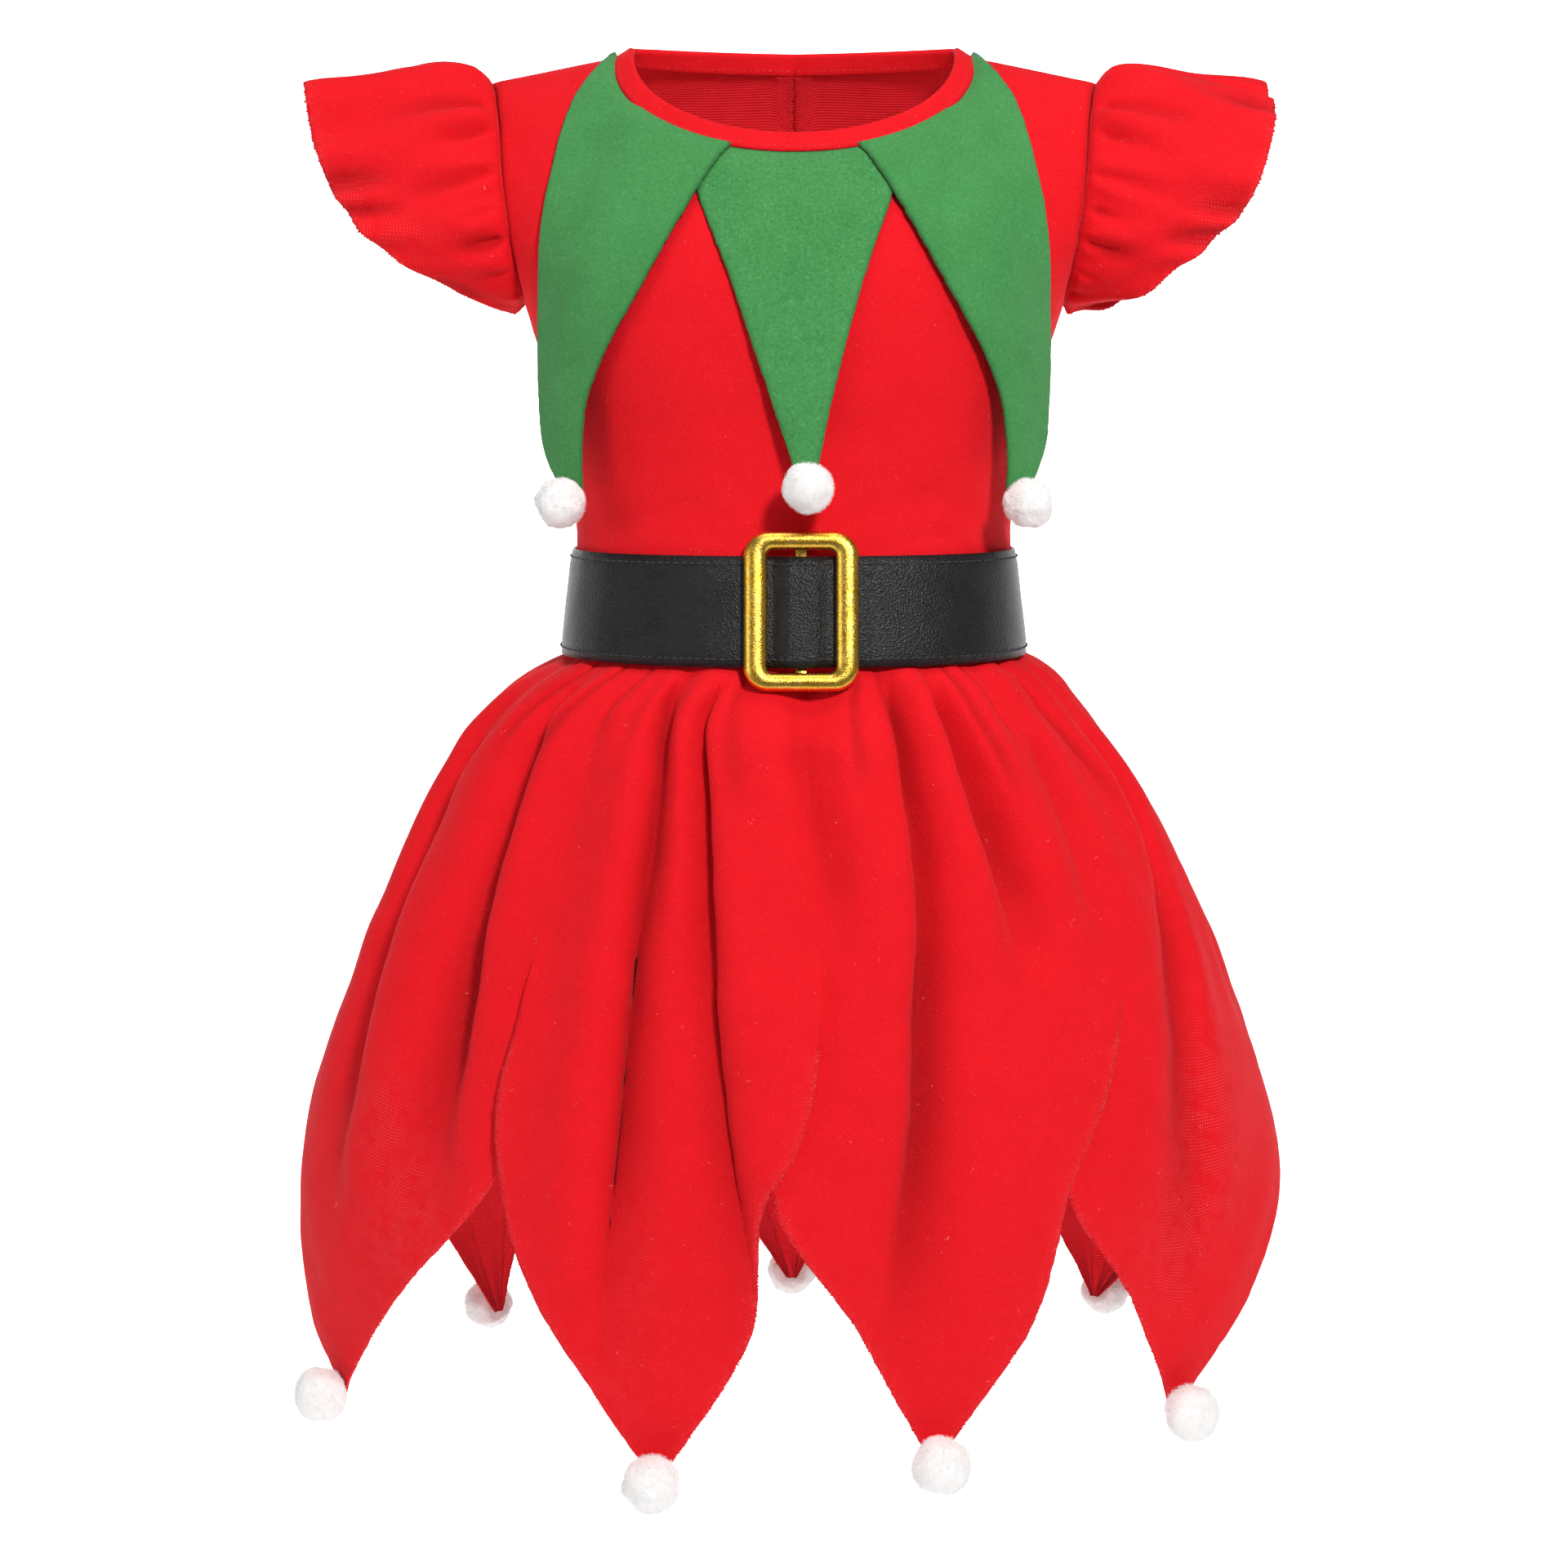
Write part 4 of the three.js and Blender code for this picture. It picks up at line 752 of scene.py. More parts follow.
def gold_plate(name):
    """Bright gold coating with fine specks, small dents and a few scratches."""
    shader = Shader(name, roughness=0.3, metallic=1.0)
    specks = shader.noise(1700, 4, 0.75)
    patches = shader.noise(160, 4, 0.7)
    stretch = {"Vector": shader.place, "Rotation": (0.0, 0.6, 0.0), "Scale": (9, 1, 0.5)}
    scratch = shader.noise(260, 2, 0.5, vector=shader.node("Mapping", stretch).outputs[0])
    colour = shader.mix(shader.ramp(patches, 0.35, 0.7), (0.74, 0.43, 0.04), (0.88, 0.59, 0.11))
    colour = shader.mix(shader.ramp(specks, 0.6, 0.75, 0.0, 0.5), colour, (0.5, 0.26, 0.02))
    colour = shader.mix(shader.ramp(specks, 0.38, 0.28, 0.0, 0.6), colour, (1.0, 0.86, 0.45))
    shader.colour(colour)
    shader.rough(shader.ramp(specks, 0.35, 0.7, 0.16, 0.4))
    shader.bump((patches, 0.2), (specks, 0.09), (shader.ramp(scratch, 0.7, 0.75), 0.05))
    return shader.material


def white_fluff(name, core=False):
    """Clipped white fibres, with painted shade: a little greyer between the tufts, and greyer still on the
    core under the fibres.
    """
    shader = Shader(name, roughness=0.95, specular=0.15, Sheen_Weight=0.25, Sheen_Roughness=0.6)
    tufts = shader.noise(330, 4, 0.7)
    # Painted shade: the low tone is grey, greyer on the core.
    low = (0.93, 0.92, 0.905) if core else (0.955, 0.945, 0.935)
    shader.colour(shader.mix(shader.ramp(tufts, 0.3, 0.62), low, (0.99, 0.985, 0.98)))
    shader.bump((tufts, 0.2 if core else 0.05), (shader.noise(1600, 2), 0.15))
    return shader.material


def thread(name, colour, light):
    """Sewing thread, twisted fine."""
    shader = Shader(name, roughness=0.55, specular=0.4)
    twist = shader.noise(2400, 2, 0.5)
    shader.colour(shader.mix(shader.ramp(twist, 0.4, 0.65), colour, light))
    shader.bump((twist, 0.06))
    return shader.material


RED = red_knit("red_knit_nap")
RED_INSIDE = red_knit("red_knit_wrong_side", inside=True)
FELT_SIDE = green_felt("green_felt_side", 0.65)
FELT_CENTRE = green_felt("green_felt_centre", 0.95)
STRAP = black_strap("strap_face")
STRAP_INSIDE = black_strap("strap_backing", inside=True)
GOLD = gold_plate("gold_plate")
FLUFF = white_fluff("white_fibres")
FLUFF_CORE = white_fluff("white_core", core=True)
BLACK_THREAD = thread("black_thread", (0.016, 0.016, 0.017), (0.07, 0.07, 0.074))
RED_THREAD = thread("red_thread", (0.62, 0.004, 0.012), (0.9, 0.06, 0.07))


# Shared finishing of cloth pieces
SEAM_DIP = 0.7
SEAM_DIP_WIDTH = 2.4
EDGE_WIDTH = 1.6

# Places where the nap is worn and the knit's loops show through, painted lighter there as a painted sheen, as
# seen from the front
WEAR_AND_SHEEN = table(
    "x z wide high strength",
    (172, -430, 14, 40, 1),
    (156, -480, 18, 28, 0.6),
    (-158, -470, 20, 34, 0.8),
    (-170, -425, 12, 22, 0.6),
    (96, -515, 10, 30, 0.35),
    (-72, -525, 14, 22, 0.35),
    (-62, -470, 10, 30, 0.25),
    (-178, -60, 12, 18, 0.5),
    (-160, -72, 16, 12, 0.5),
    (172, -66, 14, 16, 0.6),
)


def wear_and_sheen_mark(points):
    x, z = points[..., 0], points[..., 2]
    total = np.zeros(x.shape)
    for middle_x, middle_z, wide, high, strength in zip(*WEAR_AND_SHEEN.values()):
        total += strength * np.exp(-(((x - middle_x) / wide) ** 2) - ((z - middle_z) / high) ** 2)
    return np.clip(total, 0, 1)


def knit_marks(points, edge=0.0, wear_and_sheen=0.0, crease_shade=0.0):
    """The values by vertex that the knit's material reads."""
    values = {"edge": edge, "wear_and_sheen": wear_and_sheen, "crease_shade": crease_shade}
    return {name: value + np.zeros(points.shape[:-1]) for name, value in values.items()}


def knit_piece(
    name, outer, normal, dip, free=None, ring=False, extra_inner=0.0, wander=0.35, crease_shade=0.0,
    seam_depth=SEAM_DIP, side_share=0.3, seam_rows=None,
):
    """A knit wall. dip is the distance to the nearest seam, free the distance to the nearest cut edge
    and crease how deep in a trough of the cloth a point lies, from 0 to 1, which the material darkens as
    painted shade."""
    shift = wander * ripple(outer, len(name) + 3, 55) + 0.3 * wander * ripple(outer, len(name) + 9, 21)
    if free is not None:
        shift = shift * smooth(free / 12)
    in_seam = bell(dip / SEAM_DIP_WIDTH)
    outer = moved(outer, normal, shift * smooth(dip / 10) - seam_depth * in_seam)
    inner = moved(outer, -normal, CLOTH + np.asarray(extra_inner, float))
    soften_rims(outer, inner, ring, side_share)
    # The worn mark is real wear with a painted sheen: the loops show lighter where the nap is worn, and more
    # so near cut edges.
    edge, wear_and_sheen = 0.0, wear_and_sheen_mark(outer)
    if free is not None:
        edge = np.exp(-free / EDGE_WIDTH)
        wear_and_sheen = np.maximum(wear_and_sheen, 0.25 * np.exp(-free / 6))
    # The crease mark is painted shade: darker colour in the troughs and in the seam dips.
    marks = knit_marks(outer, edge, wear_and_sheen, np.maximum(crease_shade, 0.7 * seam_depth * in_seam))
    piece = wall(name + "_cloth", outer, inner, [RED, RED_INSIDE, RED], "red_knit", ring, marks, seam_rows)
    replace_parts(piece, name)
    return piece


# Bodice
SIDE_TURN = 89.99
SIDE_ROWS = 5
ARM_STOPS = np.array([0, 0.15, 0.3, 0.45, 0.6, 0.73, 0.84, 0.93, 1])
SHOULDER_COLUMNS = 2
NECK_COLUMNS = 9
SCOOP_FADE = 6
PANEL_FINENESS = 7


def side_edge(reach):
    return np.full(np.shape(reach), SIDE_TURN), lerp(WAIST_DOWN - SEAM / 2, UNDERARM_DOWN, reach)


def arm_edge(reach):
    drop = (UNDERARM_DOWN - SHOULDER_TIP_DOWN) * (1 + np.cos(np.pi * reach)) / 2
    turn = SIDE_TURN - SHOULDER_TURN * reach - ARM_SCOOP * np.sin(np.pi * reach)
    return turn, SHOULDER_TIP_DOWN + drop


def neck_edge(reach, centre_down):
    angle = np.pi / 2 * reach
    start = -shoulder_height(NECK_HALF_WIDTH)
    down = start + (centre_down - start) * np.sin(angle) ** 0.9
    return turn_at(NECK_HALF_WIDTH * np.cos(angle), down), down


def on_panel(turn, down, back):
    spot = 180 - turn if back else turn
    _, depth = section_at(False, down, not back)
    ahead = np.abs(np.cos(rad(spot))) ** (2 / SQUARENESS)
    ridge = SHOULDER_ROUND * np.arcsin(np.minimum(SEAM / 2 / np.maximum(depth * ahead, 1e-6), 1))
    return spot, np.maximum(fall_at(turn, down), ridge)


def half_panel(centre_down, back):
    """Turn and fall over one half of a panel: rows go up from the waist, columns in from the side."""
    arm_rows = len(ARM_STOPS) - 1
    rows = SIDE_ROWS + arm_rows
    columns = SHOULDER_COLUMNS + NECK_COLUMNS
    v = np.linspace(0, 1, rows * PANEL_FINENESS + 1)[:, None]
    u = np.linspace(0, 1, columns * PANEL_FINENESS + 1)[None, :]

    def side(v):
        on_seam = side_edge(np.minimum(v * rows / SIDE_ROWS, 1))
        on_arm = arm_edge(np.interp(v * rows - SIDE_ROWS, np.arange(arm_rows + 1), ARM_STOPS))
        place = [np.where(v * rows <= SIDE_ROWS, a, b) for a, b in zip(on_seam, on_arm)]
        return on_panel(*place, back)

    def top(u):
        share = SHOULDER_COLUMNS / columns
        neck = neck_edge(np.clip((u - share) / (1 - share), 0, 1), centre_down)
        turn = lerp(arm_edge(1)[0], neck_edge(np.array(0.0), centre_down)[0], np.minimum(u / share, 1))
        down = -shoulder_height(torso_point(turn, 0)[..., 0])
        return on_panel(*[np.where(u > share, a, b) for a, b in zip(neck, (turn, down))], back)

    def waist(u):
        return on_panel(lerp(SIDE_TURN, 0, u), np.full(u.shape, WAIST_DOWN - SEAM / 2), back)

    places = []
    for of_side, of_top, of_waist in zip(side(v), top(u), waist(u)):
        corner_waist, corner_top = of_waist[:, :1], of_top[:, :1]
        scoop = of_side - lerp(corner_waist, corner_top, v)
        places.append(lerp(of_waist, of_top, v) + scoop * (1 - u) ** SCOOP_FADE)
    return places


def creased(points, sign, turn_over):
    """Depth of the bodice's soft creases at points; sign mirrors them and turn_over shifts them."""
    x, z = points[..., 0] * sign, points[..., 2] + turn_over
    depth = np.zeros(x.shape)
    for x0, z0, x1, z1, deep, wide in zip(*BODICE_CREASES.values()):
        length = (x1 - x0) ** 2 + (z1 - z0) ** 2
        t = ((x - x0) * (x1 - x0) + (z - z0) * (z1 - z0)) / length
        off = np.hypot(x - lerp(x0, x1, np.clip(t, 0, 1)), z - lerp(z0, z1, np.clip(t, 0, 1)))
        depth += deep * (bell(off / wide) - 0.5 * bell(off / (2.2 * wide)))
    return depth


FACING_WIDTH = 9  # the turned-in edge on either side of the back opening
FACING_THICK = 0.7
PUCKER_DEPTH = 0.4  # small puckers beside the back opening
PUCKER_PITCH = 6.5


def build_bodice():
    turn, fall = half_panel(NECK_FRONT_DOWN, False)
    turn = np.concatenate([-turn, turn[:, -2::-1]], axis=1)
    fall = np.concatenate([fall, fall[:, -2::-1]], axis=1)
    outer, normal = lifted(torso_point, turn, fall)
    outer = moved(outer, normal, -creased(outer, 1, 0))
    pieces = [knit_piece("bodice_front", outer, normal, rim_distance(side_distances(outer)))]
    for word, side in (("left", -1), ("right", 1)):
        turn, fall = half_panel(NECK_BACK_DOWN, True)
        outer, normal = lifted(torso_point, side * turn, fall)
        away = side_distances(outer)
        pucker = np.cos(2 * np.pi * (fall + 2 * side) / PUCKER_PITCH + 0.8 * np.sin(fall / 9))
        pucker = PUCKER_DEPTH * pucker * bell(away["right"] / FACING_WIDTH)
        outer = moved(outer, normal, -(creased(outer, -side, 6) + pucker))
        turned_in = FACING_THICK * smooth((FACING_WIDTH - away["right"]) / 1.2)
        name = "bodice_back_" + word
        pieces.append(knit_piece(name, outer, normal, rim_distance(away), extra_inner=turned_in))
    return pieces


# Neck binding, a strip folded over the neckline
BINDING_CLOTH = 1.1
BINDING_LAP = 1.6  # how far it lies over the panels
BINDING_GAP = 0.0001  # at the centre back, as a share of half the neckline


def neck_place(place):
    """Turn and fall along the neckline, from -1 at the centre back through 0 at the front."""
    reach = np.abs(place)
    back = reach > 0.5
    turn_b, down_b = neck_edge(np.clip((reach - 0.5) * 2, 0, 1), NECK_BACK_DOWN)
    turn_f, down_f = neck_edge(np.clip(1 - reach * 2, 0, 1), NECK_FRONT_DOWN)
    turn, down = np.where(back, turn_b, turn_f), np.where(back, down_b, down_f)
    return np.sign(place) * np.where(back, 180 - turn, turn), fall_at(turn, down)


def build_binding():
    end = 1 - BINDING_GAP
    place = np.linspace(-end, end, 300)
    turn, fall = neck_place(place)
    before = torso_point(*neck_place(np.maximum(place - 0.004, -1)))
    after = torso_point(*neck_place(np.minimum(place + 0.004, 1)))
    normal = normal_of(torso_point, turn, fall)
    inward = unit(np.cross(normal, unit(after - before)))
    half_round = np.pi * np.abs(place)
    stand = rad(15 * (1 - np.cos(half_round)) + 6 * np.sin(half_round))[:, None]
    across = inward * np.cos(stand) + normal * np.sin(stand)
    outward = normal * np.cos(stand) - inward * np.sin(stand)
    root = torso_point(turn, fall) - normal * CLOTH / 2 + inward * (SEAM + 0.2)
    half = BINDING_THICK / 2
    straight = np.linspace(-BINDING_LAP, BINDING_WIDTH - half, 7)
    bend = np.linspace(-np.pi / 2, np.pi / 2, 9)[1:-1]
    along = np.concatenate([straight, straight[-1] + half * np.cos(bend), straight[::-1]])
    rise = half * np.concatenate([-np.ones(7), np.sin(bend), np.ones(7)])
    pinch = np.abs(rise) > 0.99 * half
    rise = rise * np.where(pinch, 0.8 + 0.2 * smooth((along + BINDING_LAP) / 2), 1)
    under = 1 - BINDING_CLOTH / half
    along_under = np.where(pinch, along, straight[-1] + (along - straight[-1]) * under)
    rise_under = rise * under
    puff = 1 + 0.05 * np.sin(place * 61)[:, None, None] + 0.04 * np.sin(place * 143 + 1)[:, None, None]

    def strip(reach, height):
        flat = root[:, None] + across[:, None] * reach[:, None]
        return flat + outward[:, None] * height[:, None] * puff

    outer, inner = strip(along, rise), strip(along_under, rise_under)
    looks = {"marks": knit_marks(outer)}
    binding = wall("neck_binding_cloth", outer, inner, [RED, RED_INSIDE, RED], "red_knit", **looks)
    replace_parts(binding, "neck_binding")
    rows = []
    for lift, seed in ((0.5, 3), (-0.5, 4)):
        line = root + across * 0.6 + outward * BINDING_THICK * 0.88 * lift
        rows.append(thread_run(line, outward * np.sign(lift), 2.8, 2.0, 0.22, seed=seed))
    points, faces = joined(rows)
    stitches = add_object("neck_stitches", points, faces, [RED_THREAD], "red_knit")
    return binding, stitches


# Sleeves
def sleeve_root(angle, sleeve):
    """Points of the sleeve's seam round the armhole, and the outward directions there."""

    def hole(angle):
        back = angle > 180
        reach = np.where(back, (angle - 180) / 180, 1 - angle / 180)
        turn, down = arm_edge(reach)
        turn_f, fall_f = on_panel(turn, down, False)
        turn_b, fall_b = on_panel(turn, down, True)
        return sleeve.side * np.where(back, turn_b, turn_f), np.where(back, fall_b, fall_f)

    angle = angle % 360
    here, normal = lifted(torso_point, *hole(angle))
    step = 1.5
    tangent = torso_point(*hole((angle + step) % 360)) - torso_point(*hole((angle - step) % 360))
    away = unit(np.cross(tangent, normal))
    arm = np.array([sleeve.side * 150, 0, -(UNDERARM_DOWN + SHOULDER_TIP_DOWN) / 2])
    away *= np.sign(np.sum(away * (arm - here), axis=-1, keepdims=True))
    return here + away * (SEAM + 0.1), normal


def sleeve_swing(angle, reach, sleeve):
    """How far the sleeve's surface lies in or out from its plain form."""
    phase = sleeve.phase
    gather = np.cos(SLEEVE_GATHERS * rad(angle) + phase + 0.8 * np.sin(2 * rad(angle) + 2 * phase))
    total = SLEEVE_GATHER_DEPTH * gather * (1 - smooth((reach - 0.15) / 0.5))
    wave = np.cos(SLEEVE_WAVES * rad(angle) + 2 * phase + 0.7 * np.sin(2 * rad(angle) + phase))
    total = total + SLEEVE_WAVE_DEPTH * wave * smooth((reach - 0.25) / 0.75)
    turned = angle + (4 * phase - 2 if sleeve.side > 0 else 0)
    for root, tip, end, depth, width in zip(*SLEEVE_FOLDS.values()):
        strength = smooth(reach / 0.05) * smooth((end - reach) / (0.7 * end))
        off = wrap(turned - lerp(root, tip, np.clip(reach / end, 0, 1))) / (width * (0.42 + 1.1 * reach))
        total = total - 1.25 * depth * strength * trough_shape(off)
    flute = np.cos(SLEEVE_FLUTES * rad(angle) + 3 * phase + 1.1 * np.sin(3 * rad(angle) + phase))
    total = total + SLEEVE_FLUTE_DEPTH * flute * smooth((reach - 0.45) / 0.55)
    return total * np.minimum(reach / 0.09, 1)


def sleeve_point(angle, reach, sleeve):
    around = angle % 360
    half = np.where(around > 180, 360 - around, around)
    behind = np.where(around > 180, 1, -1)
    out, forward, down = (read_table(SLEEVE_HEM, "angle", name, half) for name in ("out", "forward", "down"))
    sag = sleeve.droop * np.cos(rad(half / 2))
    hem = np.stack([sleeve.side * (out - sleeve.pulled_in), behind * forward, -down - sag], -1)
    root, _ = sleeve_root(around, sleeve)
    length = np.linalg.norm(hem - root, axis=-1) / SLEEVE_LENGTH
    radial = np.stack([np.zeros(around.shape), -np.sin(rad(around)), np.cos(rad(around))], -1)
    puff = (0.45 + 0.55 * np.cos(rad(around / 2)) ** 2) * SLEEVE_PUFF * np.sin(np.pi * reach**0.55)
    swell = length * (puff + sleeve_swing(around, reach, sleeve))
    return moved(lerp(root, hem, reach[..., None]), radial, swell)


def build_sleeve(sleeve):
    columns, rows = 260, 46
    angle = np.linspace(0, 360, columns, endpoint=False)[None, :] * np.ones((rows, 1))
    reach = np.linspace(0, 1, rows)[:, None] ** 1.25 * np.ones((1, columns))
    outer = sleeve_point(angle, reach, sleeve)
    near = np.clip(reach, 0.03, 0.97)
    along = sleeve_point(angle, near + 0.03, sleeve) - sleeve_point(angle, near - 0.03, sleeve)
    across = sleeve_point(angle + 1.5, reach, sleeve) - sleeve_point(angle - 1.5, reach, sleeve)
    normal = unit(np.cross(across, along)) * sleeve.side
    root_normal = sleeve_root(angle, sleeve)[1]
    normal = unit(lerp(root_normal, normal, smooth(reach / 0.06)[..., None]))
    down = reach_along(outer, 0)
    # Painted shade in the sleeve's troughs, darker the deeper they are.
    crease_shade = np.clip((-sleeve_swing(angle, reach, sleeve) - 1.4) / 4, 0, 0.6)
    looks = {"ring": True, "crease_shade": crease_shade}
    piece = knit_piece("sleeve_" + sleeve.word, outer, normal, down, down[-1:] - down, **looks)
    round_trip = np.append(np.arange(columns), 0)
    hem = outer[-1, round_trip] - normal[-1, round_trip] * CLOTH / 2
    return piece, edge_knots(hem, 0.5, 1.3, seed=sleeve.side + 5)


# Collar points
COLLAR_TUCK = 2.4  # how far the felt dips where it goes in under the binding
COLLAR_TUCK_WIDTH = 5
ROW_CROWDING = 1.7
POINT_ROWS = 110
SIDE_POINT_END = 7
CENTRE_POINT_START = 5


def neckline_place(column):
    side = np.where(column > NECK_COLUMNS, -1, 1)
    reach = 1 - np.abs(1 - column / NECK_COLUMNS)
    return side * NECK_HALF_WIDTH * np.cos(np.pi / 2 * reach), neck_edge(reach, NECK_FRONT_DOWN)[1]


def build_point(name, outer_edge, inner_edge, first, last, side, lift, material, fineness):
    """One felt point: a grid from the neckline down to the tip, lifted off the draped form."""
    columns = int((last - first) * fineness)
    reach = np.linspace(0, 1, POINT_ROWS + 1)[:, None] ** ROW_CROWDING
    share = np.linspace(0, 1, columns + 1)[None, :]
    from_across, from_down = outer_edge(reach)
    to_across, to_down = inner_edge(reach)
    top_across, top_down = neckline_place(first + (last - first) * share)
    keep = (1 - reach) ** 2
    straight_across = lerp(from_across[0, 0], to_across[0, 0], share)
    straight_down = lerp(from_down[0, 0], to_down[0, 0], share)
    across = lerp(from_across, to_across, share) + (side * top_across - straight_across) * keep
    down = lerp(from_down, to_down, share) + (top_down - straight_down) * keep
    turn = turn_at(across, down, True)
    fall = np.maximum(fall_at(turn, down, True), 0.6)
    ridge = RIDGE_LIFT * (1 - smooth(fall / RIDGE_FADE))
    outer, normal = lifted(drape_point, turn, fall, lift(reach, share) + ridge + FELT)
    outer += normal * (0.25 * ripple(outer, len(name), 40))[..., None] * smooth(reach * 4)[..., None]
    away = side_distances(outer)
    outer = moved(outer, normal, -COLLAR_TUCK * bell(away["top"] / COLLAR_TUCK_WIDTH))
    free = np.minimum(np.minimum(away["left"], away["right"]), away["bottom"] + 2)
    rng = np.random.default_rng(len(name))
    fray = rng.normal(0, 0.12, outer.shape) * np.exp(-free / 0.8)[..., None]
    outer = moved(outer + fray, normal, -0.45 * bell(free / 1.1))
    inner = outer - normal * FELT
    soften_rims(outer, inner)
    piece = wall(name + "_felt", outer, inner, [material], "green_felt", marks={"edge": np.exp(-free / 0.9)})
    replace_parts(piece, name)
    return piece


def build_collar():
    def side_lift(reach, share):
        lap = smooth((share - 0.3) / 0.35) * smooth((0.62 - reach) / 0.2)
        return lerp(COLLAR_LIFT, COLLAR_LAP, lap) + TIP_LIFT * reach

    def outline(rows, side, lean=0.0):
        return lambda reach: (
            side * read_table(rows, None, "across", reach) + lean * reach**2,
            read_table(rows, None, "down", reach),
        )

    pieces = []
    for word, side in (("left", -1), ("right", 1)):
        edges = outline(SIDE_OUTER, side), outline(SIDE_INNER, side)
        where = 0, SIDE_POINT_END, side
        pieces.append(build_point("collar_" + word, *edges, *where, side_lift, FELT_SIDE, 8))
    edges = outline(CENTRE_EDGE, 1, CENTRE_LEAN), outline(CENTRE_EDGE, -1, CENTRE_LEAN)
    end = 2 * NECK_COLUMNS - CENTRE_POINT_START
    lift = lambda reach, share: COLLAR_LIFT + TIP_LIFT * reach**2 + 0 * share
    pieces.append(build_point("collar_centre", *edges, CENTRE_POINT_START, end, 1, lift, FELT_CENTRE, 7))
    return pieces


# Skirt
LONG_FOLD = (26, (0.55, 1.2))  # the fade and spread of long troughs
SHORT_FOLD = (8, (0.9, 1.3))  # and of short ones
GATHER_DOWN, GATHER_RISE = 236, 14  # where the gathers come out from under the belt
GATHER_END, GATHER_FADE = 262, 150  # where they start to fade
BELT_EDGE_DOWN = 240.4
SHIFT_DOWN, SHIFT_RUN = 260, 60  # where the skirt swings back to the middle
PETAL_ROWS, GATHERED_END = 128, 300
GATHER_COLUMNS = 20


def gather_swing(turn):
    """Waist gathers, with round ridges and narrower valleys, and a valley at each seam."""
    first = PETALS[0].left.seam
    around = first + (turn - first) % 360
    swing = np.zeros(np.shape(turn))
    for petal in PETALS:
        inside = (around >= petal.left.seam) & (around <= petal.right.seam)
        share = (around - petal.left.seam) / (petal.right.seam - petal.left.seam)
        swing = np.where(inside, 2 * np.abs(np.sin(np.pi * share * petal.gathers)) ** 1.8 - 1, swing)
    return swing * (1 + 0.3 * np.sin(rad(5 * around) + 1))


def trough_shape(off):
    return bell(off) - 0.4 * bell(off / 2.2)


def beside_troughs(rows, turn, down, fade, spread):
    """For each trough, how far a place lies beside it, in widths, and its strength at that height. fade
    is how far below its start it is full, and spread its width at its start and its end."""
    for top, low, start, end, _, width, skew, *_ in zip(*rows.values()):
        reach = np.clip((down - start) / (end - start), 0, 1)
        strength = smooth((down - start) / fade) * smooth((end - down) / (0.45 * (end - start)))
        off = wrap(turn - lerp(top, low, smooth(reach * 1.15)))
        yield off / (width * lerp(*spread, reach) * np.where(off < 0, 1 - skew, 1 + skew)), strength


def troughs(rows, *place_and_form):
    near = beside_troughs(rows, *place_and_form)
    return sum(deep * strength * trough_shape(off) for deep, (off, strength) in zip(rows["depth"], near))


def long_folds(turn, down):
    return troughs(FOLDS, turn, down, *LONG_FOLD)


def short_folds(turn, down):
    return troughs(PLEATS, turn, down, *SHORT_FOLD)


def ridge_roll(turn, down):
    """Degrees by which the ridges lean over the long troughs beside them."""
    total = 0
    for roll, (off, strength) in zip(FOLDS["roll"], beside_troughs(FOLDS, turn, down, *LONG_FOLD)):
        total = total + roll * strength * bell(off + 0.9 * np.sign(roll))
    return total


def buckle_press(turn, down):
    """How far the buckle presses the skirt in under it."""
    press = BUCKLE_PRESS
    middle = np.clip((down - press["start"]) / (press["end"] - press["start"]), 0, 1)
    pressed = press["depth"] * np.sin(np.pi * middle) ** 2
    return pressed * bell(wrap(turn - press["turn"]) / press["width"])


def skirt_point(turn, down):
    turn, down = np.broadcast_arrays(np.asarray(turn, float), np.asarray(down, float))
    squareness = lerp(SQUARENESS, 2, smooth((down - WAIST_DOWN) / 70))
    coming = 0.3 + 0.7 * smooth((down - GATHER_DOWN) / GATHER_RISE)
    gather = GATHER_DEPTH * coming * (1 - smooth((down - GATHER_END) / GATHER_FADE))
    folds = long_folds(turn, down) + short_folds(turn, down) + buckle_press(turn, down)
    out = gather * gather_swing(turn) - folds
    width = read_table(SKIRT, "down", "width", down) + out
    depth = read_table(SKIRT, "down", "depth", down) + out
    shift = lerp(SKIRT_SHIFT_TOP, SKIRT_SHIFT_LOW, smooth((down - SHIFT_DOWN) / SHIFT_RUN))
    shift = shift * smooth((down - BELT_EDGE_DOWN) / 20)
    leaned = turn + ridge_roll(turn, down)
    x = shift + width * signed_power(np.sin(rad(leaned)), 2 / squareness)
    return np.stack([x, -depth * signed_power(np.cos(rad(leaned)), 2 / squareness), -down], -1)


def petal_edge(petal, edge, outward, down):
    rows = table(
        "down turn",
        (PART_DOWN, edge.seam),
        (NOTCH_DOWN, edge.notch),
        (MIDDLE_DOWN, edge.middle),
        (petal.ball + TIP_PAST_BALL, petal.tip + outward * TIP_HALF_ANGLE),
    )
    swell = UNDER_TUCK if edge.lap < 0 else OVER_SWELL
    between = np.clip((down - PART_DOWN) / (NOTCH_DOWN - PART_DOWN), 0, 1)
    free = read_table(rows, "down", "turn", down) + outward * swell * np.sin(np.pi * between)
    return np.where(down <= PART_DOWN, edge.seam, free)


def petal_lift(petal, turn, down):
    parted = LAP_LIFT * smooth((down - PART_DOWN + 32) / 28)
    total = 0
    for edge, outward in ((petal.left, -1), (petal.right, 1)):
        inside = (petal_edge(petal, edge, outward, down) - turn) * outward
        total = total + edge.lap * smooth(1 - (inside - LAP_WIDTH) / LAP_REACH)
    return parted * np.clip(total, -1, 1)


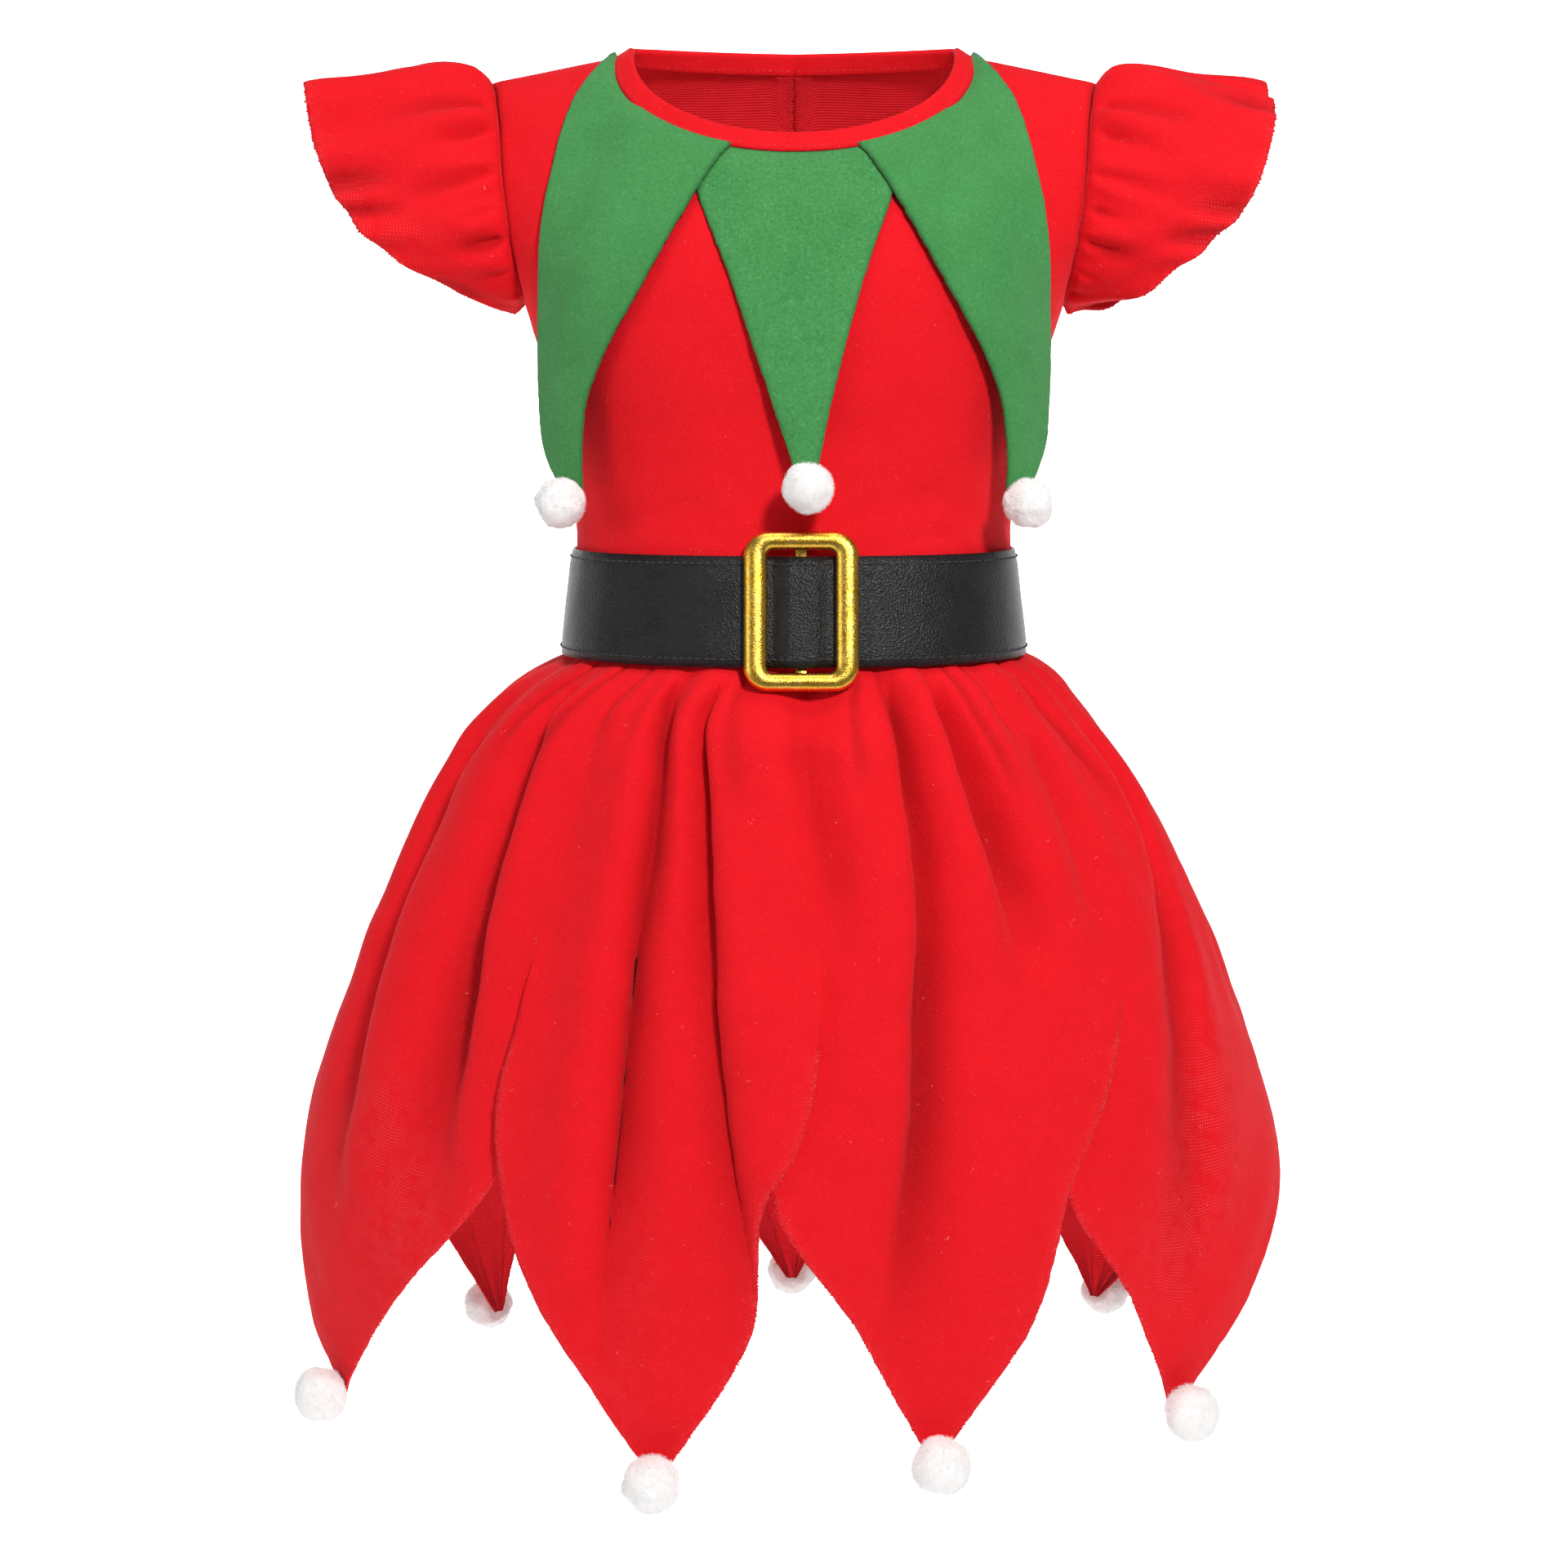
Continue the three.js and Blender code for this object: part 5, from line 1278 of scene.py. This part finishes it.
def build_petal(petal, number):
    tip_down = petal.ball + TIP_PAST_BALL
    rows, columns = PETAL_ROWS, GATHER_COLUMNS * petal.gathers
    gathered = np.linspace(WAIST_DOWN + SEAM / 2, GATHERED_END, rows // 3, endpoint=False)
    hanging = np.linspace(GATHERED_END, tip_down, rows - rows // 3)
    down = np.concatenate([gathered, hanging])[:, None]
    left = petal_edge(petal, petal.left, -1, down)
    right = petal_edge(petal, petal.right, 1, down)
    arc = np.linalg.norm(skirt_point(left + 0.2, down) - skirt_point(left - 0.2, down), axis=-1) / 0.4
    gap = SEAM / 2 * smooth((down - PART_DOWN) / 10) / arc
    left, right = left + gap, right - gap
    turn = lerp(left, right, np.linspace(0, 1, columns + 1)[None, :])
    down = down * np.ones_like(turn)
    outer, normal = lifted(skirt_point, turn, down, petal_lift(petal, turn, down))
    away = side_distances(outer)
    nearest = np.minimum(away["left"], away["right"])
    parted = smooth((down - PART_DOWN) / 14)
    rng = np.random.default_rng(40 + number)
    fray = rng.normal(0, 0.16, outer.shape) * (np.exp(-nearest / 0.9) * parted)[..., None]
    seams = np.where(parted > 0, nearest + 8 * parted, nearest)
    free = nearest + 60 * (1 - parted)
    name = f"skirt_petal_{number}"
    # Painted shade in the long troughs and the short pleats, darker the deeper they are.
    lying = np.clip(long_folds(turn, down) / 10, 0, 1) ** 1.4
    short = np.clip(short_folds(turn, down) / 2.5, 0, 1)
    crease_shade = np.maximum(lying, 0.8 * short)
    looks = {"wander": 0.5, "crease_shade": crease_shade, "seam_depth": 0, "side_share": 0.3 * parted[:, :1]}
    looks["seam_rows"] = down[:, 0] < PART_DOWN
    piece = knit_piece(name, outer + fray, normal, seams, free, **looks)
    cut = down[:, 0] > PART_DOWN + 8
    edges = [outer[cut, side] - normal[cut, side] * CLOTH / 2 for side in (0, -1)]
    return piece, [edge_knots(edge, 0.42, 1.25, 60 + 2 * number + k) for k, edge in enumerate(edges)]


# Belt and buckle
BUCKLE_ACROSS = 2.7
BUCKLE_WIDTH, BUCKLE_HEIGHT = 46.4, 64.3
OPEN_WIDTH, OPEN_HEIGHT = 27.3, 49.4
BUCKLE_THICK = 5
BAR_WIDTH, BAR_THICK, BAR_REACH, BAR_FOOT = 4.5, 1.5, 28.4, 3
OUTER_CORNER, INNER_CORNER = 10, 2.5
FOOT_RISE = 1
FACE_ROUNDNESS = 0.6
STITCH_INSET = 3.1
GROOVE_DEPTH, GROOVE_WIDTH = 0.3, 0.8  # where the stitches pull the strap in
RIM_DROP, RIM_WIDTH = 0.35, 0.9
STRAP_WAVE = 0.12


def belt_point(turn, down, lift=0.0):
    width = read_table(BELT, "down", "width", down) + lift
    depth = read_table(BELT, "down", "depth", down) + lift
    x = width * signed_power(np.sin(rad(turn)), 2 / SQUARENESS)
    ahead = signed_power(np.cos(rad(turn)), 2 / SQUARENESS)
    beside = (np.abs(x - BUCKLE_ACROSS) - 4) / 8
    rise = np.where(ahead > 0, STRAP_RISE * smooth(1 - beside), 0)
    return np.stack(np.broadcast_arrays(x, -depth * ahead - rise, -down), -1)


def belt_form(turn, down):
    """The strap's face, whose far end lies over its start."""
    overlap = BELT_THICK + 2 * SEAM
    return belt_point(turn, down, overlap * smooth((turn - (180 - BELT_OVERLAP_DEG) + 16) / 14))


def build_belt():
    start = -180 - BELT_OVERLAP_DEG
    sides = np.linspace(start, 180, 560)
    middle = np.linspace(-14, 16, 120)
    turn = np.unique(np.concatenate([sides, middle]))[None, :]
    top, bottom = BELT["down"]
    down = lerp(top, bottom, np.linspace(0, 1, 15))[:, None]
    outer, normal = lifted(belt_form, turn, down)
    away = side_distances(outer)
    rim = rim_distance(away)
    groove = np.abs(np.minimum(away["top"], away["bottom"]) - STITCH_INSET)
    press = GROOVE_DEPTH * bell(groove / GROOVE_WIDTH) + RIM_DROP * bell(rim / RIM_WIDTH)
    outer = moved(outer, normal, -(press + STRAP_WAVE * np.abs(ripple(outer, 5, 34))))
    inner = outer - normal * (BELT_THICK - 0.5)
    soften_rims(outer, inner)
    looks = {"marks": {"edge": np.exp(-rim / 0.8)}}
    strap = wall("belt_strap_face", outer, inner, [STRAP, STRAP_INSIDE, STRAP], "black_strap", **looks)
    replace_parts(strap, "belt_strap")
    runs = []
    for k, line_down in enumerate((top + STITCH_INSET, bottom - STITCH_INSET)):
        path, out = lifted(belt_form, turn[0], np.full(turn[0].shape, line_down), -0.12)
        runs.append(thread_run(path, out, 3.4, 2.4, 0.34, seed=11 + k))
    points, faces = joined(runs)
    stitches = add_object("belt_stitches", points, faces, [BLACK_THREAD], "black_strap")
    return strap, stitches


def refine_ring(stations, parts):
    """More stations on the straight runs of a ring, so that every face is short."""
    result = []
    for here, there in zip(stations, np.roll(stations, -1, axis=0)):
        count = parts if np.linalg.norm(there[0] - here[0]) > 6 else 1
        result += [lerp(here, there, part / count) for part in range(count)]
    return np.array(result)


def corner_point(size, radius, turn, side):
    """A point of a rounded rectangle's corner; side has the corner's signs across and up."""
    return side * (np.array(size) / 2 - radius) + radius * np.array([math.cos(turn), math.sin(turn)])


def buckle_frame():
    """The frame's rounded section, swept round the opening."""
    steps, sides = 14, 22
    angle = np.linspace(0, np.pi, sides)
    across = 0.5 - 0.5 * np.cos(angle)
    rise = np.sin(angle) ** FACE_ROUNDNESS
    stations = []
    for quarter, side in enumerate(np.array([(1, 1), (-1, 1), (-1, -1), (1, -1)])):
        for k in range(steps + 1):
            turn = np.pi / 2 * (quarter + k / steps)
            outer = corner_point((BUCKLE_WIDTH, BUCKLE_HEIGHT), OUTER_CORNER, turn, side)
            inner = corner_point((OPEN_WIDTH, OPEN_HEIGHT), INNER_CORNER, turn, side)
            flat = lerp(outer, inner, across[:, None])
            stations.append(np.concatenate([flat, rise[:, None] * BUCKLE_THICK], axis=1))
    stations = refine_ring(np.array(stations), 12)
    return stations.reshape(-1, 3), tube_faces(len(stations), sides, True)


def buckle_bar():
    """The centre bar behind the strap, with a foot at either end up to the frame."""
    back, half, inside = -(BELT_THICK + SEAM), BAR_WIDTH / 2, BAR_REACH - BAR_FOOT
    upper = [(BAR_REACH, back), (BAR_REACH, FOOT_RISE), (inside, FOOT_RISE), (inside, back + BAR_THICK)]
    side_view = [(-BAR_REACH, back)] + upper + [(-y, z) for y, z in upper[:0:-1]]
    points = np.array([(x, y, z) for x in (-half, half) for y, z in side_view])
    return points, tube_faces(2, len(side_view), False)


def build_buckle():
    """The frame and its bar, set on the belt as the solid is."""
    points, faces = joined([buckle_frame(), buckle_bar()])
    top_down, bottom_down = BELT["down"]
    top_depth, bottom_depth = BELT["depth"]
    tilt = math.atan2(bottom_depth - top_depth, bottom_down - top_down)
    up = np.array([0, math.sin(tilt), math.cos(tilt)])
    out = np.array([0, -math.cos(tilt), math.sin(tilt)])
    centre = np.array([BUCKLE_ACROSS, -(top_depth + bottom_depth) / 2, -(top_down + bottom_down) / 2])
    placed = centre + points[:, :1] * [1, 0, 0] + points[:, 1:2] * up + (points[:, 2:] + SEAM) * out
    buckle = add_object("belt_buckle_plate", placed, faces, [GOLD], "gold_buckle")
    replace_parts(buckle, "belt_buckle")
    bevel = buckle.modifiers.new("soft_edges", "BEVEL")
    bevel.width = 0.25 * MM
    bevel.segments = 2
    bevel.limit_method = "ANGLE"
    bevel.angle_limit = math.radians(40)


# Pompoms
FIBRES = 3400
FIBRE_SWAY = 0.17
# Distances from the middle and widths, the distances in radii and the widths in millimetres
CORE_SIZE = 0.9
FIBRE_ROOT, FIBRE_MIDDLE, FIBRE_TIP = 0.84, 0.925, (0.94, 1.0)
FIBRE_HALF_WIDTH = (0.06, 0.12)
BIG_LUMP, SMALL_LUMP = 0.05, 0.022


def sphere_directions(count, rng):
    """Evenly spread directions with a little disorder."""
    k = np.arange(count) + 0.5
    height = 1 - 2 * k / count
    turn = np.pi * (1 + 5**0.5) * k
    flat = np.sqrt(1 - height**2)
    even = np.stack([flat * np.cos(turn), flat * np.sin(turn), height], -1)
    return unit(even + rng.normal(0, 0.05, even.shape))


def build_ball(name, radius, centre, axis, seed):
    """A core of soft lumps under a coat of short bent fibres, flattened where it meets the cloth."""
    rng = np.random.default_rng(seed)
    ball = bmesh.new()
    bmesh.ops.create_icosphere(ball, subdivisions=4, radius=1.0)
    core = np.array([v.co for v in ball.verts])
    core_faces = [tuple(v.index for v in f.verts) for f in ball.faces]
    ball.free()
    wave = radius * 0.9
    lumps = BIG_LUMP * ripple(core * radius, seed, wave) + SMALL_LUMP * ripple(core * radius, seed + 1, 2.6)
    core = core * (CORE_SIZE + lumps)[:, None]
    way = sphere_directions(FIBRES, rng)
    sway = rng.normal(0, FIBRE_SWAY, way.shape)
    lump = BIG_LUMP * ripple(way * radius, seed, wave)[:, None]
    root = way * (FIBRE_ROOT + lump)
    middle = unit(way + sway * 0.5) * (FIBRE_MIDDLE + lump)
    tip = unit(way + sway) * (rng.uniform(*FIBRE_TIP, (FIBRES, 1)) + 0.4 * lump)
    beside = unit(np.cross(way, rng.normal(size=way.shape)))
    half = rng.uniform(*FIBRE_HALF_WIDTH, (FIBRES, 1)) / radius
    stations = ((root, 1), (middle, 0.8), (tip, 0.3))
    points = np.stack([at + sign * (beside * half * wide) for at, wide in stations for sign in (-1, 1)], 1)
    blade = [(0, 1, 3, 2), (2, 3, 5, 4)]
    fibre_faces = [tuple(c + 6 * k for c in face) for k in range(FIBRES) for face in blade]
    points, faces = joined([(core, core_faces), (points.reshape(-1, 3), fibre_faces)])
    points = moved(points, -axis, np.minimum(points @ axis + BALL_SEAT, 0))
    kinds = np.concatenate([np.ones(len(core_faces)), np.zeros(len(fibre_faces))])
    looks = {"materials": [FLUFF, FLUFF_CORE], "slot": "white_fluff", "face_material": kinds}
    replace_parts(add_object(name + "_fluff", centre + points * radius, faces, **looks), name)


def build_balls():
    for number, petal in enumerate(PETALS, 1):
        turn, down = np.array(float(petal.tip)), np.array(float(petal.ball))
        seat, axis = lifted(skirt_point, turn, down, petal_lift(petal, turn, down))
        centre = seat + axis * (BALL_SEAT * HEM_BALL + SEAM + 0.2)
        build_ball(f"hem_pompom_{number}", HEM_BALL, centre, axis, 100 + number)
    places = [
        ("left", -COLLAR_BALL_ACROSS, COLLAR_BALL_DOWN),
        ("centre", CENTRE_LEAN, CENTRE_BALL_DOWN),
        ("right", COLLAR_BALL_ACROSS, COLLAR_BALL_DOWN),
    ]
    for k, (word, across, down) in enumerate(places):
        turn = turn_at(np.array(float(across)), down, True)
        lift = np.array(COLLAR_LIFT + TIP_LIFT + CLOTH)
        seat, axis = lifted(drape_point, turn, fall_at(turn, down, True), lift)
        centre = seat + axis * (BALL_SEAT * COLLAR_BALL + SEAM + 0.2)
        build_ball("collar_pompom_" + word, COLLAR_BALL, centre, axis, 120 + k)


# Cuts of the cloth pieces: width and length in metres, and flat area of what shows
Cut = namedtuple("Cut", "width length area held")


# Studio
FLOOR_Z = -0.87
Light = namedtuple("Light", "name place aim size power spread")
LIGHTS = [
    Light("key", (0.6, -1.7, 0.85), (0, 0, -0.27), 0.32, 32, 180),
    Light("fill", (-1.6, -1.05, 0.0), (0, 0, -0.3), 0.9, 6, 180),
    Light("top", (0.0, -0.5, 1.5), (0, 0, -0.3), 0.8, 8, 180),
    Light("backdrop", (0.0, 1.0, 1.6), (0, 2.5, -0.3), 1.6, 42, 105),
    Light("behind", (-0.5, 1.8, 0.7), (0, 0, -0.3), 0.5, 5, 180),
]
WORLD_STRENGTH = 0.16
CAMERA_PLACE = (-0.0042, -1.258, -0.138)
CAMERA_DIP = 7.25
CAMERA_LENS = 67.5


def build_floor():
    """A pale floor that curves up behind."""
    front, behind, height, half_width, bend = -0.7, 2.6, 2.2, 4.0, 1.0
    steps = 16
    profile = [(front, FLOOR_Z), (behind - bend, FLOOR_Z)]
    for angle in (math.pi / 2 * k / steps for k in range(1, steps + 1)):
        profile.append((behind - bend + bend * math.sin(angle), FLOOR_Z + bend * (1 - math.cos(angle))))
    profile.append((behind, FLOOR_Z + height))
    points = [(x, y, z) for y, z in profile for x in (-half_width, half_width)]
    faces = [(2 * k, 2 * k + 1, 2 * k + 3, 2 * k + 2) for k in range(len(profile) - 1)]
    mesh = bpy.data.meshes.new("studio_floor")
    mesh.from_pydata(points, [], faces)
    mesh.polygons.foreach_set("use_smooth", np.ones(len(faces), bool))
    paper = Shader("studio_paper", roughness=0.95, specular=0.1, Emission_Strength=0.55)
    paper.bsdf.inputs["Emission Color"].default_value = (1, 1, 1, 1)
    paper.bsdf.inputs["Base Color"].default_value = (0.85, 0.85, 0.85, 1)
    mesh.materials.append(paper.material)
    linked("studio_floor", mesh)


def build_lights():
    """Soft round lights, with the key from the upper right, and a grey world."""
    for light in LIGHTS:
        data = bpy.data.lights.new(light.name, "AREA")
        data.shape = "DISK"
        data.size = light.size
        data.energy = light.power
        data.spread = math.radians(light.spread)
        lamp = linked(light.name, data)
        lamp.location = light.place
        lamp.rotation_euler = (Vector(light.aim) - Vector(light.place)).to_track_quat("-Z", "Y").to_euler()
    world = bpy.data.worlds.new("studio")
    world.use_nodes = True
    background = world.node_tree.nodes["Background"].inputs
    background["Color"].default_value = (1, 1, 1, 1)
    background["Strength"].default_value = WORLD_STRENGTH
    bpy.context.scene.world = world
    bpy.context.scene.view_settings.view_transform = "Standard"


def build_camera():
    """The photograph's view: a little above the belt's height, looking slightly down."""
    data = bpy.data.cameras.new("camera")
    data.sensor_width = 36
    data.lens = CAMERA_LENS
    data.clip_end = 50
    camera = linked("camera", data)
    camera.location = CAMERA_PLACE
    camera.rotation_euler = (math.radians(90 - CAMERA_DIP), 0, 0)
    bpy.context.scene.camera = camera


build_camera()
build_floor()
build_lights()
bodice = build_bodice()
binding, neck_stitches = build_binding()
collar = build_collar()
sleeves, sleeve_knots = zip(*[build_sleeve(sleeve) for sleeve in SLEEVES])
petals, petal_knots = zip(*[build_petal(petal, number) for number, petal in enumerate(PETALS, 1)])
strap, belt_stitches = build_belt()
build_buckle()
build_balls()

knot_points, knot_faces = joined([*sleeve_knots, *(knots for pair in petal_knots for knots in pair)])
knot_looks = {"uv": np.zeros((len(knot_points), 2)), "marks": knit_marks(knot_points, edge=1.0)}
add_object("cut_edges", knot_points, knot_faces, [RED], "red_knit", **knot_looks)
